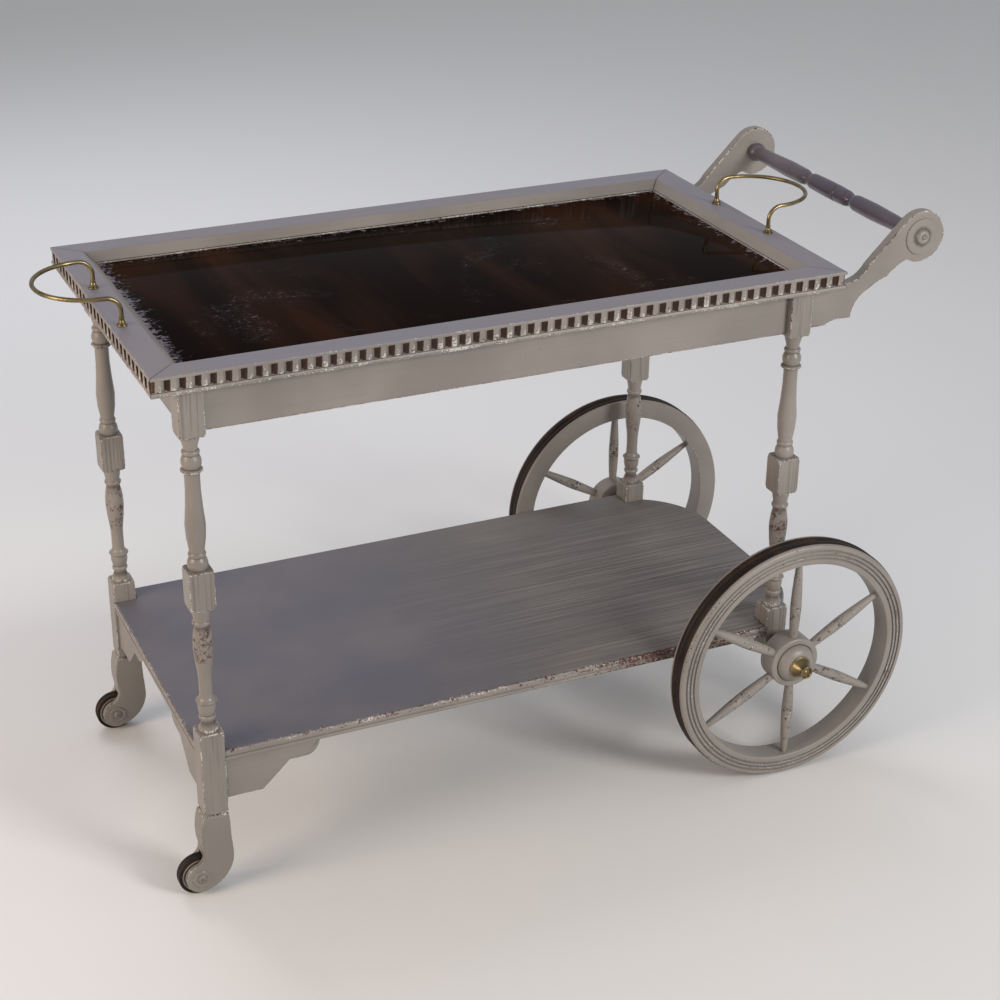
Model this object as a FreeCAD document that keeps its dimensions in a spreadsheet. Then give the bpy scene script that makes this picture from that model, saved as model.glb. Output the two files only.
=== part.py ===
import FreeCAD, Part
import math
import os
import Sketcher

# Tea cart: lift-off glass tray on a turned frame, two spoked wheels and two swivel castors.
# X runs along the cart to the push handle, -Y is the front, +Z is up and the floor is z = 0.

# Driving dimensions in millimetres: name, value, what it is
DIMENSIONS = [
    ("tray_length", 918, "tray, outer length"),
    ("tray_width", 486, "tray, outer width"),
    ("tray_height", 25.5, "tray rail, height of the outer edge"),
    ("rail_top", 35, "tray rail, width of its flat top"),
    ("rail_bevel", 13, "tray rail, inner bevel at 45 degrees"),
    ("rail_lip", 2, "tray rail, upright lip over the glass"),
    ("rail_round", 1.5, "tray rail, rounding of the outer edges"),
    ("rabbet_width", 12, "tray rail, rabbet that holds glass and board"),
    ("glass_thick", 4, "tray glass, thickness"),
    ("glass_slack", 0.4, "tray glass and board, room at each edge"),
    ("board_thick", 6, "tray backing board, thickness"),
    ("dentil_pitch", 18, "dentil edge, pitch"),
    ("dentil_gap", 11.4, "dentil edge, width of a pocket"),
    ("dentil_depth", 5, "dentil edge, depth of a pocket"),
    ("dentil_drop", 4, "dentil edge, lip above the pockets"),
    ("dentil_tall", 13.8, "dentil edge, height of a pocket"),
    ("batten_wide", 24, "tray battens, width"),
    ("batten_tall", 14, "tray battens, height"),
    ("batten_slack", 3, "tray battens, room to the aprons"),
    ("bow_rod", 5.6, "tray handle, rod diameter"),
    ("bow_span", 139, "tray handle, distance of its feet"),
    ("bow_rise", 18, "tray handle, straight rise above the rail"),
    ("bow_bend", 18, "tray handle, bend radius"),
    ("bow_inset", 14.5, "tray handle, feet to the tray's end"),
    ("foot_wide", 12.5, "tray handle, foot diameter"),
    ("foot_tall", 9, "tray handle, foot height"),
    ("screw_wide", 3.6, "tray handle screw, diameter"),
    ("screw_head", 8, "tray handle screw, head diameter"),
    ("screw_head_tall", 3, "tray handle screw, head height"),
    ("screw_grip", 5, "tray handle screw, length in the foot"),
    ("deck_height", 704.5, "floor to the tray's underside"),
    ("leg_block", 31.5, "legs, side of the square blocks"),
    ("leg_inset_left", 33.75, "left legs, tray end to leg face"),
    ("leg_inset_right", 38.75, "right posts, tray end to post face"),
    ("leg_inset_side", 14.75, "legs, tray side to leg face"),
    ("top_block", 62.5, "legs, height of the top block"),
    ("mid_block_level", 415, "legs, floor to the middle block"),
    ("mid_block", 51.5, "legs, height of the middle block"),
    ("low_block_rise", 27, "legs, shelf's top to the top of the lowest block"),
    ("leg_end", 122, "left legs, floor to their lower end"),
    ("pommel", 2.2, "legs, cut of the block corners"),
    ("pommel_tall", 5, "legs, height of the corner cut"),
    ("neck_wide", 19, "leg turning, necks"),
    ("ring_wide", 22.5, "leg turning, small rings"),
    ("bulb_wide", 25, "leg turning, bulbs"),
    ("flange_wide", 27.4, "leg turning, sharp rings"),
    ("vase_wide", 26.4, "leg turning, upper vase"),
    ("low_vase_wide", 24.6, "leg turning, lower vase"),
    ("thin_wide", 16, "leg turning, thinnest place"),
    ("apron_tall", 58.5, "aprons, height"),
    ("apron_thick", 12, "aprons, thickness"),
    ("tenon_thick", 6, "tenons, thickness"),
    ("tenon_tall", 38, "tenons, height"),
    ("tenon_long", 9, "tenons, length"),
    ("shelf_room", 10.5, "shelf, room between its underside and the axle"),
    ("shelf_thick", 16, "shelf, thickness"),
    ("shelf_reach", 57.75, "shelf, overhang past the right posts"),
    ("shelf_corner", 118, "shelf, radius of the right corners"),
    ("shelf_groove", 1.6, "shelf, groove along its edge"),
    ("bracket_long", 126, "shelf brackets, length"),
    ("bracket_tall", 57, "shelf brackets, height at the leg"),
    ("bracket_foot", 48, "shelf brackets, length of the lower edge"),
    ("bracket_nose", 22, "shelf brackets, height of the nose"),
    ("bracket_thick", 16, "shelf brackets, thickness"),
    ("bracket_recess", 4, "shelf brackets, behind the leg's face"),
    ("push_reach", 128, "push handle, tray end to the bar's axis"),
    ("push_rise", 48.5, "push handle, tray's underside to the bar's axis"),
    ("arm_disc", 70, "push handle arm, diameter of its round end"),
    ("arm_thick", 13.5, "push handle arm, thickness"),
    ("arm_root", 65.75, "push handle arm, length of its straight root"),
    ("arm_root_tall", 55, "push handle arm, height of its root"),
    ("arm_gap", 0.5, "push handle arm, room under the tray"),
    ("bar_wide", 24, "push bar, thickest place of the barrels"),
    ("bar_end", 19, "push bar, barrel at the arms"),
    ("bar_neck", 14, "push bar, necks"),
    ("bar_collar", 27, "push bar, collars at the arms"),
    ("bar_middle", 109, "push bar, distance of the necks"),
    ("bar_tenon", 15, "push bar, diameter of the end tenons"),
    ("bar_tenon_long", 7, "push bar, length of the end tenons"),
    ("rosette_wide", 49, "push handle rosettes, diameter"),
    ("rosette_thick", 2.2, "push handle rosettes, thickness of the rim"),
    ("rosette_button", 17, "push handle rosettes, diameter of the button"),
    ("wheel_wide", 358, "wheels, diameter of the rim"),
    ("rim_tall", 28.5, "wheels, radial height of the rim"),
    ("rim_deep", 32, "wheels, width of the rim"),
    ("rim_groove", 2, "wheels, depth of the grooves in the outer face"),
    ("rim_bead", 4.5, "wheels, rounding of the rim's outer edge"),
    ("wheel_gap", 21.75, "wheels, post face to the rim"),
    ("tyre_deep", 22, "wheel tyres, width"),
    ("tyre_seat", 5, "wheel tyres, depth of the channel"),
    ("tyre_proud", 1.5, "wheel tyres, height of the two ridges above the rim"),
    ("tyre_dip", 2.5, "wheel tyres, depth of the middle groove below the rim"),
    ("hub_wide", 74, "wheel hubs, diameter of the drum"),
    ("hub_dome", 55, "wheel hubs, diameter of the dome"),
    ("hub_dome_tall", 11.5, "wheel hubs, height of the dome"),
    ("hub_boss", 30, "wheel hubs, diameter of the inner boss"),
    ("spoke_count", 6, "spokes in a wheel"),
    ("spoke_wide", 15.5, "spokes, thickest place"),
    ("spoke_hub_end", 11.5, "spokes, diameter at the hub"),
    ("spoke_rim_end", 8, "spokes, diameter at the rim"),
    ("spoke_seat", 7, "spokes, length in hub and rim"),
    ("spoke_ahead", 6, "spokes, outside the middle of the rim"),
    ("axle_wide", 12, "axle, diameter"),
    ("axle_thread", 8, "axle, diameter of the threaded ends"),
    ("bush_wall", 2, "hub bushes and post bushes, wall"),
    ("running_fit", 0.05, "turning shafts, radial clearance"),
    ("washer_thick", 2, "axle washers, thickness"),
    ("washer_wide", 26, "axle washers, diameter"),
    ("side_play", 0.3, "turning parts, room along the axis"),
    ("nut_wide", 13, "axle nuts, width across flats"),
    ("nut_thick", 5, "axle nuts, thickness"),
    ("cap_wide", 30.5, "hub caps, diameter at the hub"),
    ("cap_end", 17, "hub caps, diameter at the end"),
    ("cap_long", 19, "hub caps, length"),
    ("cap_hollow", 19, "hub caps, diameter of the hollow"),
    ("cap_hollow_deep", 7, "hub caps, depth of the hollow"),
    ("post_foot", 16, "right posts, length below the axle"),
    ("castor_trail", 24.5, "castors, axle behind the leg's axis"),
    ("castor_wheel", 56, "castors, wheel diameter"),
    ("castor_wheel_wide", 13, "castors, wheel width"),
    ("castor_slot", 15, "castors, width of the slot for the wheel"),
    ("castor_room", 2.5, "castors, room round the wheel"),
    ("castor_end", 40, "castors, diameter of the horn's round end"),
    ("castor_back", 19, "castors, belly of the horn past the leg's axis"),
    ("castor_lobe", 22, "castors, lobe of the horn past the leg's axis"),
    ("castor_deep", 31, "castors, depth of the horn"),
    ("castor_bevel", 3, "castors, bevel at the top of the horn"),
    ("castor_tyre", 4.5, "castor tyres, radial thickness"),
    ("castor_pin", 6, "castor axle pins, diameter"),
    ("castor_rosette", 24, "castor rosettes, diameter"),
    ("castor_rosette_thick", 1.5, "castor rosettes, thickness"),
    ("stem_wide", 10, "castor stems, diameter"),
    ("stem_long", 38, "castor stems, length in the leg"),
    ("stem_seat", 16, "castor stems, length in the horn"),
    ("socket_wall", 2, "castor sockets, wall"),
    ("socket_flange", 26, "castor sockets, diameter of the flange"),
    ("socket_flange_thick", 1.2, "castor sockets, thickness of the flange"),
]

SHEET = "sizes"
DIAGONAL = math.sqrt(0.5)
TURN = FreeCAD.Rotation
UP = FreeCAD.Vector(0, 0, 1)
ALONG_X = FreeCAD.Vector(1, 0, 0)
ALONG_Y = FreeCAD.Vector(0, 1, 0)


class Size:
    """A length and the sheet expression that it comes from, so that both can be worked with."""

    def __init__(self, value, text):
        self.value = value
        self.text = text

    @staticmethod
    def of(other):
        """Takes a plain number as a size of its own."""
        if isinstance(other, Size):
            return other
        return Size(other, repr(other))

    def join(self, sign, other, value):
        return Size(value, "(%s %s %s)" % (self.text, sign, other.text))

    def __add__(self, other):
        other = Size.of(other)
        return self.join("+", other, self.value + other.value)

    def __radd__(self, other):
        return Size.of(other) + self

    def __sub__(self, other):
        other = Size.of(other)
        return self.join("-", other, self.value - other.value)

    def __rsub__(self, other):
        return Size.of(other) - self

    def __mul__(self, other):
        other = Size.of(other)
        return self.join("*", other, self.value * other.value)

    def __rmul__(self, other):
        return Size.of(other) * self

    def __truediv__(self, other):
        other = Size.of(other)
        return self.join("/", other, self.value / other.value)

    def __neg__(self):
        return 0 - self

    def whole(self):
        """The nearest whole number, for counts."""
        return Size(round(self.value), "round(%s)" % self.text)


class Sizes:
    """The driving dimensions, read from the sheet by name."""

    def __init__(self, sheet):
        self.sheet = sheet

    def __getattr__(self, name):
        return Size(float(self.sheet.get(name)), "%s.%s" % (SHEET, name))


doc = FreeCAD.newDocument("tea_cart")


def make_sheet():
    """Writes the driving dimensions into the document's sheet."""
    sheet = doc.addObject("Spreadsheet::Sheet", SHEET)
    for row, (name, value, meaning) in enumerate(DIMENSIONS, start=1):
        sheet.set("A%d" % row, meaning)
        sheet.set("B%d" % row, str(value))
        sheet.setAlias("B%d" % row, name)
    doc.recompute()
    return Sizes(sheet)


S = make_sheet()
NODES = []


# Helpers: binding, placing, primitives, sketches and bodies

def bind(item, path, size):
    """Binds a property to the sheet."""
    item.setExpression(path, Size.of(size).text)


def place(item, x=0, y=0, z=0, rotation=None):
    """Puts an object at a place bound to the sheet, with a fixed turn."""
    if rotation is not None:
        item.Placement = FreeCAD.Placement(FreeCAD.Vector(), rotation)
    for axis, size in (("x", x), ("y", y), ("z", z)):
        if isinstance(size, Size) or size != 0:
            bind(item, "Placement.Base." + axis, size)
    return item


def node(item, label):
    """Marks an object as a finished sub-part, which is written to its own file."""
    item.Label = label
    NODES.append(item)
    return item


def primitive(kind, sizes, x=0, y=0, z=0, rotation=None):
    """A Part primitive whose sizes are bound to the sheet."""
    item = doc.addObject("Part::" + kind, kind.lower())
    for name, size in sizes.items():
        bind(item, name, size)
    return place(item, x, y, z, rotation)


def box(low, high):
    """A box between two corners."""
    sizes = {name: b - a for name, a, b in zip(("Length", "Width", "Height"), low, high)}
    return primitive("Box", sizes, *low)


def cylinder(diameter, length, x=0, y=0, z=0, rotation=None):
    return primitive("Cylinder", {"Radius": diameter / 2, "Height": length}, x, y, z, rotation)


def across(diameter, length, x, y, z):
    """A cylinder along +Y from a starting point."""
    return cylinder(diameter, length, x, y, z, TURN(ALONG_X, -90))


def fuse(items):
    item = doc.addObject("Part::MultiFuse", "joined")
    item.Shapes = items
    item.Refine = True
    return item


def group(items):
    item = doc.addObject("Part::Compound", "group")
    item.Links = items
    return item


def cut(base, tools):
    item = doc.addObject("Part::Cut", "cut")
    item.Base = base
    item.Tool = tools[0] if len(tools) == 1 else group(tools)
    return item


def common(first, second):
    item = doc.addObject("Part::Common", "common")
    item.Base = first
    item.Tool = second
    return item


def origin_plane(body, role):
    return [part for part in body.Origin.OriginFeatures if part.Role == role][0]


def point_of(pair):
    return FreeCAD.Vector(Size.of(pair[0]).value, Size.of(pair[1]).value, 0)


def hold(sketch, geometry, end, pair):
    """Ties one point of a sketch to its two sizes."""
    for kind, size in (("DistanceX", pair[0]), ("DistanceY", pair[1])):
        size = Size.of(size)
        index = sketch.addConstraint(Sketcher.Constraint(kind, -1, 1, geometry, end, size.value))
        if size.text != repr(size.value):
            sketch.setExpression("Constraints[%d]" % index, size.text)


def end_of(step):
    return step[2] if step[0] == "via" else step


def draw(sketch, outline):
    """Draws a closed outline. A corner is (x, y); ("via", (x, y), (x, y)) is an arc to a corner."""
    start = outline[0]
    steps = outline[1:]
    if not point_of(end_of(steps[-1])).isEqual(point_of(start), 1e-6):
        steps = steps + [start]
    pieces = []
    for step in steps:
        corner = end_of(step)
        first, last = 1, 2
        if step[0] == "via":
            arc = Part.Arc(point_of(start), point_of(step[1]), point_of(corner))
            index = sketch.addGeometry(arc, False)
            if not sketch.getPoint(index, 1).isEqual(point_of(start), 1e-6):
                first, last = 2, 1
            helper = sketch.addGeometry(Part.Point(point_of(step[1])), True)
            sketch.addConstraint(Sketcher.Constraint("PointOnObject", helper, 1, index))
            hold(sketch, helper, 1, step[1])
        else:
            index = sketch.addGeometry(Part.LineSegment(point_of(start), point_of(corner)), False)
        pieces.append((index, first, last, corner))
        start = corner
    for this, following in zip(pieces, pieces[1:] + pieces[:1]):
        sketch.addConstraint(Sketcher.Constraint("Coincident", this[0], this[2], following[0], following[1]))
        hold(sketch, this[0], this[2], this[3])


def sketch_in(body, role, outline, lift=0):
    """A sketch of a closed outline on one of the body's own planes, lifted along its normal."""
    sketch = body.newObject("Sketcher::SketchObject", "outline")
    sketch.AttachmentSupport = [(origin_plane(body, role), "")]
    sketch.MapMode = "FlatFace"
    if isinstance(lift, Size):
        bind(sketch, "AttachmentOffset.Base.z", lift)
    draw(sketch, outline)
    return sketch


def new_body(name, x=0, y=0, z=0, rotation=None):
    return place(doc.addObject("PartDesign::Body", name), x, y, z, rotation)


def turned(name, outline, role="XZ_Plane", x=0, y=0, z=0, rotation=None):
    """A turned piece: the outline goes round the upright axis of its plane."""
    body = new_body(name, x, y, z, rotation)
    sketch = sketch_in(body, role, outline)
    turning = body.newObject("PartDesign::Revolution", "turning")
    turning.Profile = sketch
    turning.ReferenceAxis = (sketch, ["V_Axis"])
    turning.Angle = 360
    return body


def sawn(name, outline, thick, role="XZ_Plane", x=0, y=0, z=0, rotation=None):
    """A piece sawn from a board: the outline with half the thickness on each side of its plane."""
    body = new_body(name, x, y, z, rotation)
    pad = body.newObject("PartDesign::Pad", "board")
    pad.Profile = sketch_in(body, role, outline)
    pad.SideType = "Symmetric"
    bind(pad, "Length", thick)
    return body


def pocket(body, role, outlines, depth=None, lift=0):
    """Cuts outlines into a body: to a depth, or right through both ways."""
    sketch = sketch_in(body, role, outlines[0], lift)
    for outline in outlines[1:]:
        draw(sketch, outline)
    feature = body.newObject("PartDesign::Pocket", "pocket")
    feature.Profile = sketch
    if depth is None:
        feature.Type = "ThroughAll"
        feature.SideType = "Symmetric"
    else:
        bind(feature, "Length", depth)
    return feature


def rectangle(low, high):
    return [low, (high[0], low[1]), high, (low[0], high[1])]


def mirrored(half):
    """Adds the mirror image below y = 0 to an outline that starts on y = 0 and climbs."""
    flipped = []
    for here, above in zip(reversed(half), [None] + list(reversed(half))):
        x, y = end_of(here)
        corner = (x, -y)
        if above is not None and above[0] == "via":
            flipped.append(("via", (above[1][0], -above[1][1]), corner))
        else:
            flipped.append(corner)
    return flipped + list(half[1:])


# Places that several pieces share
HALF_BLOCK = S.leg_block / 2
RAIL_WIDE = S.rail_top + S.rail_bevel
BOW_REACH = S.tray_length / 2 - S.bow_inset + S.bow_bend + S.bow_span / 2 + S.bow_rod / 2
TRAY_X = (BOW_REACH - S.tray_length / 2 - S.push_reach - S.arm_disc / 2) / 2
LEFT_X = TRAY_X - S.tray_length / 2 + S.leg_inset_left + HALF_BLOCK
RIGHT_X = TRAY_X + S.tray_length / 2 - S.leg_inset_right - HALF_BLOCK
SIDE_Y = S.tray_width / 2 - S.leg_inset_side - HALF_BLOCK
GLASS_TOP = S.deck_height + S.tray_height - S.rail_bevel - S.rail_lip
TENON_Z = S.deck_height - S.apron_tall / 2
AXLE_Z = S.wheel_wide / 2 + S.tyre_proud
SHELF_LOW = AXLE_Z + S.axle_wide / 2 + S.shelf_room
LOW_BLOCK_TOP = SHELF_LOW + S.shelf_thick + S.low_block_rise
CASTOR_Z = S.castor_wheel / 2
CASTOR_TOP = S.leg_end - S.socket_flange_thick - S.side_play
BUSH_WIDE = S.axle_wide + 2 * S.running_fit + 2 * S.bush_wall
SOCKET_WIDE = S.stem_wide + 2 * S.running_fit + 2 * S.socket_wall
RIM_HALF = S.rim_deep / 2
RIM_INNER = S.wheel_wide / 2 - S.rim_tall
WHEEL_Y = SIDE_Y + HALF_BLOCK + S.wheel_gap + RIM_HALF
HUB_INNER = RIM_HALF + S.wheel_gap - S.washer_thick - S.side_play
HUB_OUTER = RIM_HALF + S.hub_dome_tall
BAR_HALF = SIDE_Y - S.arm_thick / 2
BAR_X = TRAY_X + S.tray_length / 2 + S.push_reach
BAR_Z = S.deck_height + S.push_rise
SIDES = (("front", -1), ("back", 1))


# Tray

def tray_rail(label, length, x, y, angle, screw_holes):
    """A mitred rail with the dentil edge outside and a rabbet for the glass inside."""
    body = new_body("rail", x, y, S.deck_height, TURN(UP, angle))
    height = S.tray_height
    corner = S.rail_round
    soft = (1 - DIAGONAL) * corner
    rabbet = RAIL_WIDE - S.rabbet_width
    lip = height - S.rail_bevel - S.rail_lip
    section = [(corner, 0), (rabbet, 0), (rabbet, lip), (RAIL_WIDE, lip), (RAIL_WIDE, lip + S.rail_lip),
               (S.rail_top, height), (corner, height), ("via", (soft, height - soft), (0, height - corner)),
               (0, corner), ("via", (soft, soft), (corner, 0))]
    pad = body.newObject("PartDesign::Pad", "rail")
    pad.Profile = sketch_in(body, "YZ_Plane", section)
    pad.SideType = "Symmetric"
    bind(pad, "Length", length)
    spare = 5
    mitres = []
    for end in (-1, 1):
        tip = end * length / 2
        past = end * (length / 2 + spare)
        inner = end * (length / 2 - RAIL_WIDE - spare)
        mitres.append([(tip, 0), (past, 0), (past, RAIL_WIDE + spare), (inner, RAIL_WIDE + spare)])
    pocket(body, "XY_Plane", mitres)
    top = height - S.dentil_drop
    first = rectangle((-length / 2 - S.dentil_gap / 2, top - S.dentil_tall),
                      (-length / 2 + S.dentil_gap / 2, top))
    dentil = pocket(body, "XZ_Plane", [first], S.dentil_depth)
    row = body.newObject("PartDesign::LinearPattern", "dentils")
    row.Originals = [dentil]
    row.Direction = (dentil.Profile[0], ["H_Axis"])
    bind(row, "Length", length)
    bind(row, "Occurrences", (length / S.dentil_pitch).whole() + 1)
    body.Tip = row
    if not screw_holes:
        return node(body, label)
    holes = []
    for side in (-1, 1):
        place_x = TRAY_X + screw_holes * (S.tray_length / 2 - S.bow_inset)
        place_y = side * S.bow_span / 2
        holes.append(cylinder(S.screw_wide, S.tray_height, place_x, place_y, S.deck_height))
        holes.append(cylinder(S.screw_head, S.screw_head_tall, place_x, place_y, S.deck_height))
    return node(cut(body, holes), label)


def tray_rails():
    tray_rail("tray_rail_front", S.tray_length, TRAY_X, -S.tray_width / 2, 0, 0)
    tray_rail("tray_rail_back", S.tray_length, TRAY_X, S.tray_width / 2, 180, 0)
    tray_rail("tray_rail_left", S.tray_width, TRAY_X - S.tray_length / 2, 0, -90, -1)
    tray_rail("tray_rail_right", S.tray_width, TRAY_X + S.tray_length / 2, 0, 90, 1)


def tray_panels():
    """Glass, the board behind it, and the battens that keep the tray between the aprons."""
    margin = RAIL_WIDE - S.rabbet_width + S.glass_slack
    half_x = S.tray_length / 2 - margin
    half_y = S.tray_width / 2 - margin
    board_top = GLASS_TOP - S.glass_thick
    board_low = board_top - S.board_thick
    node(box((TRAY_X - half_x, -half_y, board_top), (TRAY_X + half_x, half_y, GLASS_TOP)), "tray_glass")
    node(box((TRAY_X - half_x, -half_y, board_low), (TRAY_X + half_x, half_y, board_top)),
         "tray_backing_board")
    outer = SIDE_Y - S.apron_thick / 2 - S.batten_slack
    start = LEFT_X + HALF_BLOCK + S.batten_slack
    end = RIGHT_X - HALF_BLOCK - S.batten_slack
    low = board_low - S.batten_tall
    battens = [box((start, -outer, low), (end, S.batten_wide - outer, board_low)),
               box((start, outer - S.batten_wide, low), (end, outer, board_low))]
    node(group(battens), "tray_battens")


def tray_handle(label, end):
    """A brass bow: two feet, two upright rods, two bends and a half circle."""
    pieces = []
    holes = []
    radius = S.bow_rod / 2
    half = S.bow_span / 2
    level = S.bow_rise + S.bow_bend
    for side in (-1, 1):
        pieces.append(cylinder(S.bow_rod, S.bow_rise, 0, side * half, 0))
        pieces.append(primitive("Cone", {"Radius1": S.foot_wide / 2, "Radius2": radius, "Height": S.foot_tall},
                                0, side * half, 0))
        bend = primitive("Torus", {"Radius1": S.bow_bend, "Radius2": radius},
                         S.bow_bend, side * half, S.bow_rise, TURN(UP, 180) * TURN(ALONG_X, 90))
        bend.Angle3 = 90
        pieces.append(bend)
        holes.append(cylinder(S.screw_wide, S.screw_grip, 0, side * half, 0))
    loop = primitive("Torus", {"Radius1": half, "Radius2": radius}, S.bow_bend, 0, level, TURN(UP, -90))
    loop.Angle3 = 180
    pieces.append(loop)
    bow = cut(fuse(pieces), holes)
    foot_x = TRAY_X + end * (S.tray_length / 2 - S.bow_inset)
    place(bow, foot_x, 0, S.deck_height + S.tray_height, TURN(UP, 0 if end > 0 else 180))
    return node(bow, label)


def tray_handle_screws():
    screws = []
    for end in (-1, 1):
        for side in (-1, 1):
            x = TRAY_X + end * (S.tray_length / 2 - S.bow_inset)
            y = side * S.bow_span / 2
            shank = cylinder(S.screw_wide, S.tray_height + S.screw_grip, x, y, S.deck_height)
            head = cylinder(S.screw_head, S.screw_head_tall, x, y, S.deck_height)
            screws.append(fuse([shank, head]))
    node(group(screws), "tray_handle_screws")


# Legs and aprons

def block(low, high, cut_low, cut_high):
    """A square leg block whose corners are turned off at the ends that meet a turning."""
    full = S.leg_block * DIAGONAL + 1
    ended = S.leg_block * DIAGONAL - S.pommel
    outline = [(0, low)]
    outline += [(ended, low), (full, low + S.pommel_tall)] if cut_low else [(full, low)]
    outline += [(full, high - S.pommel_tall), (ended, high)] if cut_high else [(full, high)]
    outline += [(0, high)]
    square = box((-HALF_BLOCK, -HALF_BLOCK, low), (HALF_BLOCK, HALF_BLOCK, high))
    return common(square, turned("pommel", outline))


def upper_turning(top, low):
    """Neck, ring, bulb, sharp ring, long vase, ring and bulb, from the top block down."""
    def level(share):
        return top - share * (top - low)
    neck = S.neck_wide / 2
    ring = S.ring_wide / 2
    bulb = S.bulb_wide / 2
    flange = S.flange_wide / 2
    vase = S.vase_wide / 2
    return turned("upper_turning", [
        (0, top), (bulb, top), (neck, level(0.085)), (neck, level(0.105)),
        ("via", (ring, level(0.124)), (neck, level(0.143))),
        ("via", (bulb, level(0.195)), (neck + 1, level(0.239))),
        (flange, level(0.25)), (flange, level(0.262)), (neck, level(0.276)), (neck, level(0.4)),
        ("via", (neck + 0.35 * (vase - neck), level(0.52)), (vase, level(0.66))),
        ("via", (0.3 * neck + 0.7 * vase, level(0.78)), (neck + 0.8, level(0.865))),
        ("via", (ring, level(0.885)), (neck + 0.8, level(0.905))),
        ("via", (bulb + 0.2, level(0.956)), (ring, low)), (0, low)])


def lower_turning(top, low):
    """Neck, ring, inverted vase, flared ring, band, ring and foot, from the middle block down."""
    def level(share):
        return top - share * (top - low)
    neck = S.neck_wide / 2
    ring = S.ring_wide / 2
    vase = S.low_vase_wide / 2
    flange = S.bulb_wide / 2
    thin = S.thin_wide / 2
    return turned("lower_turning", [
        (0, top), (S.bulb_wide / 2, top), (ring - 0.8, level(0.1)), (ring - 0.8, level(0.12)),
        ("via", (ring + 0.6, level(0.138)), (neck + 0.6, level(0.156))),
        ("via", (0.45 * neck + 0.55 * vase, level(0.22)), (vase, level(0.33))),
        ("via", (0.5 * vase + 0.5 * thin, level(0.52)), (thin, level(0.67))),
        ("via", (thin + 0.8, level(0.71)), (flange, level(0.745))),
        ("via", (flange + 0.4, level(0.752)), (flange - 0.4, level(0.76))),
        (neck + 1.8, level(0.772)), ("via", (neck + 1.9, level(0.81)), (neck + 0.2, level(0.866))),
        (neck - 0.6, level(0.872)), ("via", (ring - 0.6, level(0.893)), (neck - 0.6, level(0.914))),
        (neck - 0.9, level(0.93)), (vase, level(0.985)), (vase, low), (0, low)])


def mortise(sign_x, sign_y):
    """The room for a tenon in one face of a leg."""
    low_z = TENON_Z - S.tenon_tall / 2
    high_z = TENON_Z + S.tenon_tall / 2
    half = S.tenon_thick / 2
    near = HALF_BLOCK - S.tenon_long
    far = HALF_BLOCK + 1
    if sign_x:
        ends = (near, far) if sign_x > 0 else (-far, -near)
        return box((ends[0], -half, low_z), (ends[1], half, high_z))
    ends = (near, far) if sign_y > 0 else (-far, -near)
    return box((-half, ends[0], low_z), (half, ends[1], high_z))


def leg(label, x, y, angle, foot, tools):
    """A square post with two turnings, standing at x, y. The tools cut its mortises and bores."""
    mid_top = S.mid_block_level + S.mid_block
    top_low = S.deck_height - S.top_block
    post = fuse([
        block(top_low, S.deck_height, True, False),
        upper_turning(top_low, mid_top),
        block(S.mid_block_level, mid_top, True, True),
        lower_turning(S.mid_block_level, LOW_BLOCK_TOP),
        block(foot, LOW_BLOCK_TOP, False, True)])
    return node(place(cut(post, tools), x, y, 0, TURN(UP, angle)), label)


def legs():
    for name, side in SIDES:
        socket = cylinder(SOCKET_WIDE, S.stem_long + S.socket_wall, 0, 0, S.leg_end)
        leg("leg_%s_left" % name, LEFT_X, side * SIDE_Y, 0 if side < 0 else -90, S.leg_end,
            [mortise(1, 0), mortise(0, 1), socket])
        bore = across(S.axle_wide + 2 * S.bush_wall, 2 * HALF_BLOCK + 2, 0, -HALF_BLOCK - 1, AXLE_Z)
        leg("post_%s_right" % name, RIGHT_X, side * SIDE_Y, 0 if side < 0 else 180, AXLE_Z - S.post_foot,
            [mortise(1, 0), mortise(-1, 0), mortise(0, 1), bore])


def aprons():
    """Boards between the legs, with a tenon at each end."""
    half = S.apron_thick / 2
    tenon = S.tenon_thick / 2
    low = S.deck_height - S.apron_tall
    tenon_low = TENON_Z - S.tenon_tall / 2
    tenon_high = TENON_Z + S.tenon_tall / 2
    start = LEFT_X + HALF_BLOCK
    end = RIGHT_X - HALF_BLOCK
    for name, side in SIDES:
        y = side * SIDE_Y
        board = box((start, y - half, low), (end, y + half, S.deck_height))
        tongue = box((start - S.tenon_long, y - tenon, tenon_low), (end + S.tenon_long, y + tenon, tenon_high))
        node(fuse([board, tongue]), "apron_" + name)
    reach = SIDE_Y - HALF_BLOCK
    for name, x in (("left", LEFT_X), ("right", RIGHT_X)):
        board = box((x - half, -reach, low), (x + half, reach, S.deck_height))
        tongue = box((x - tenon, -reach - S.tenon_long, tenon_low),
                     (x + tenon, reach + S.tenon_long, tenon_high))
        node(fuse([board, tongue]), "apron_" + name)


# Shelf and its brackets

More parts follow.
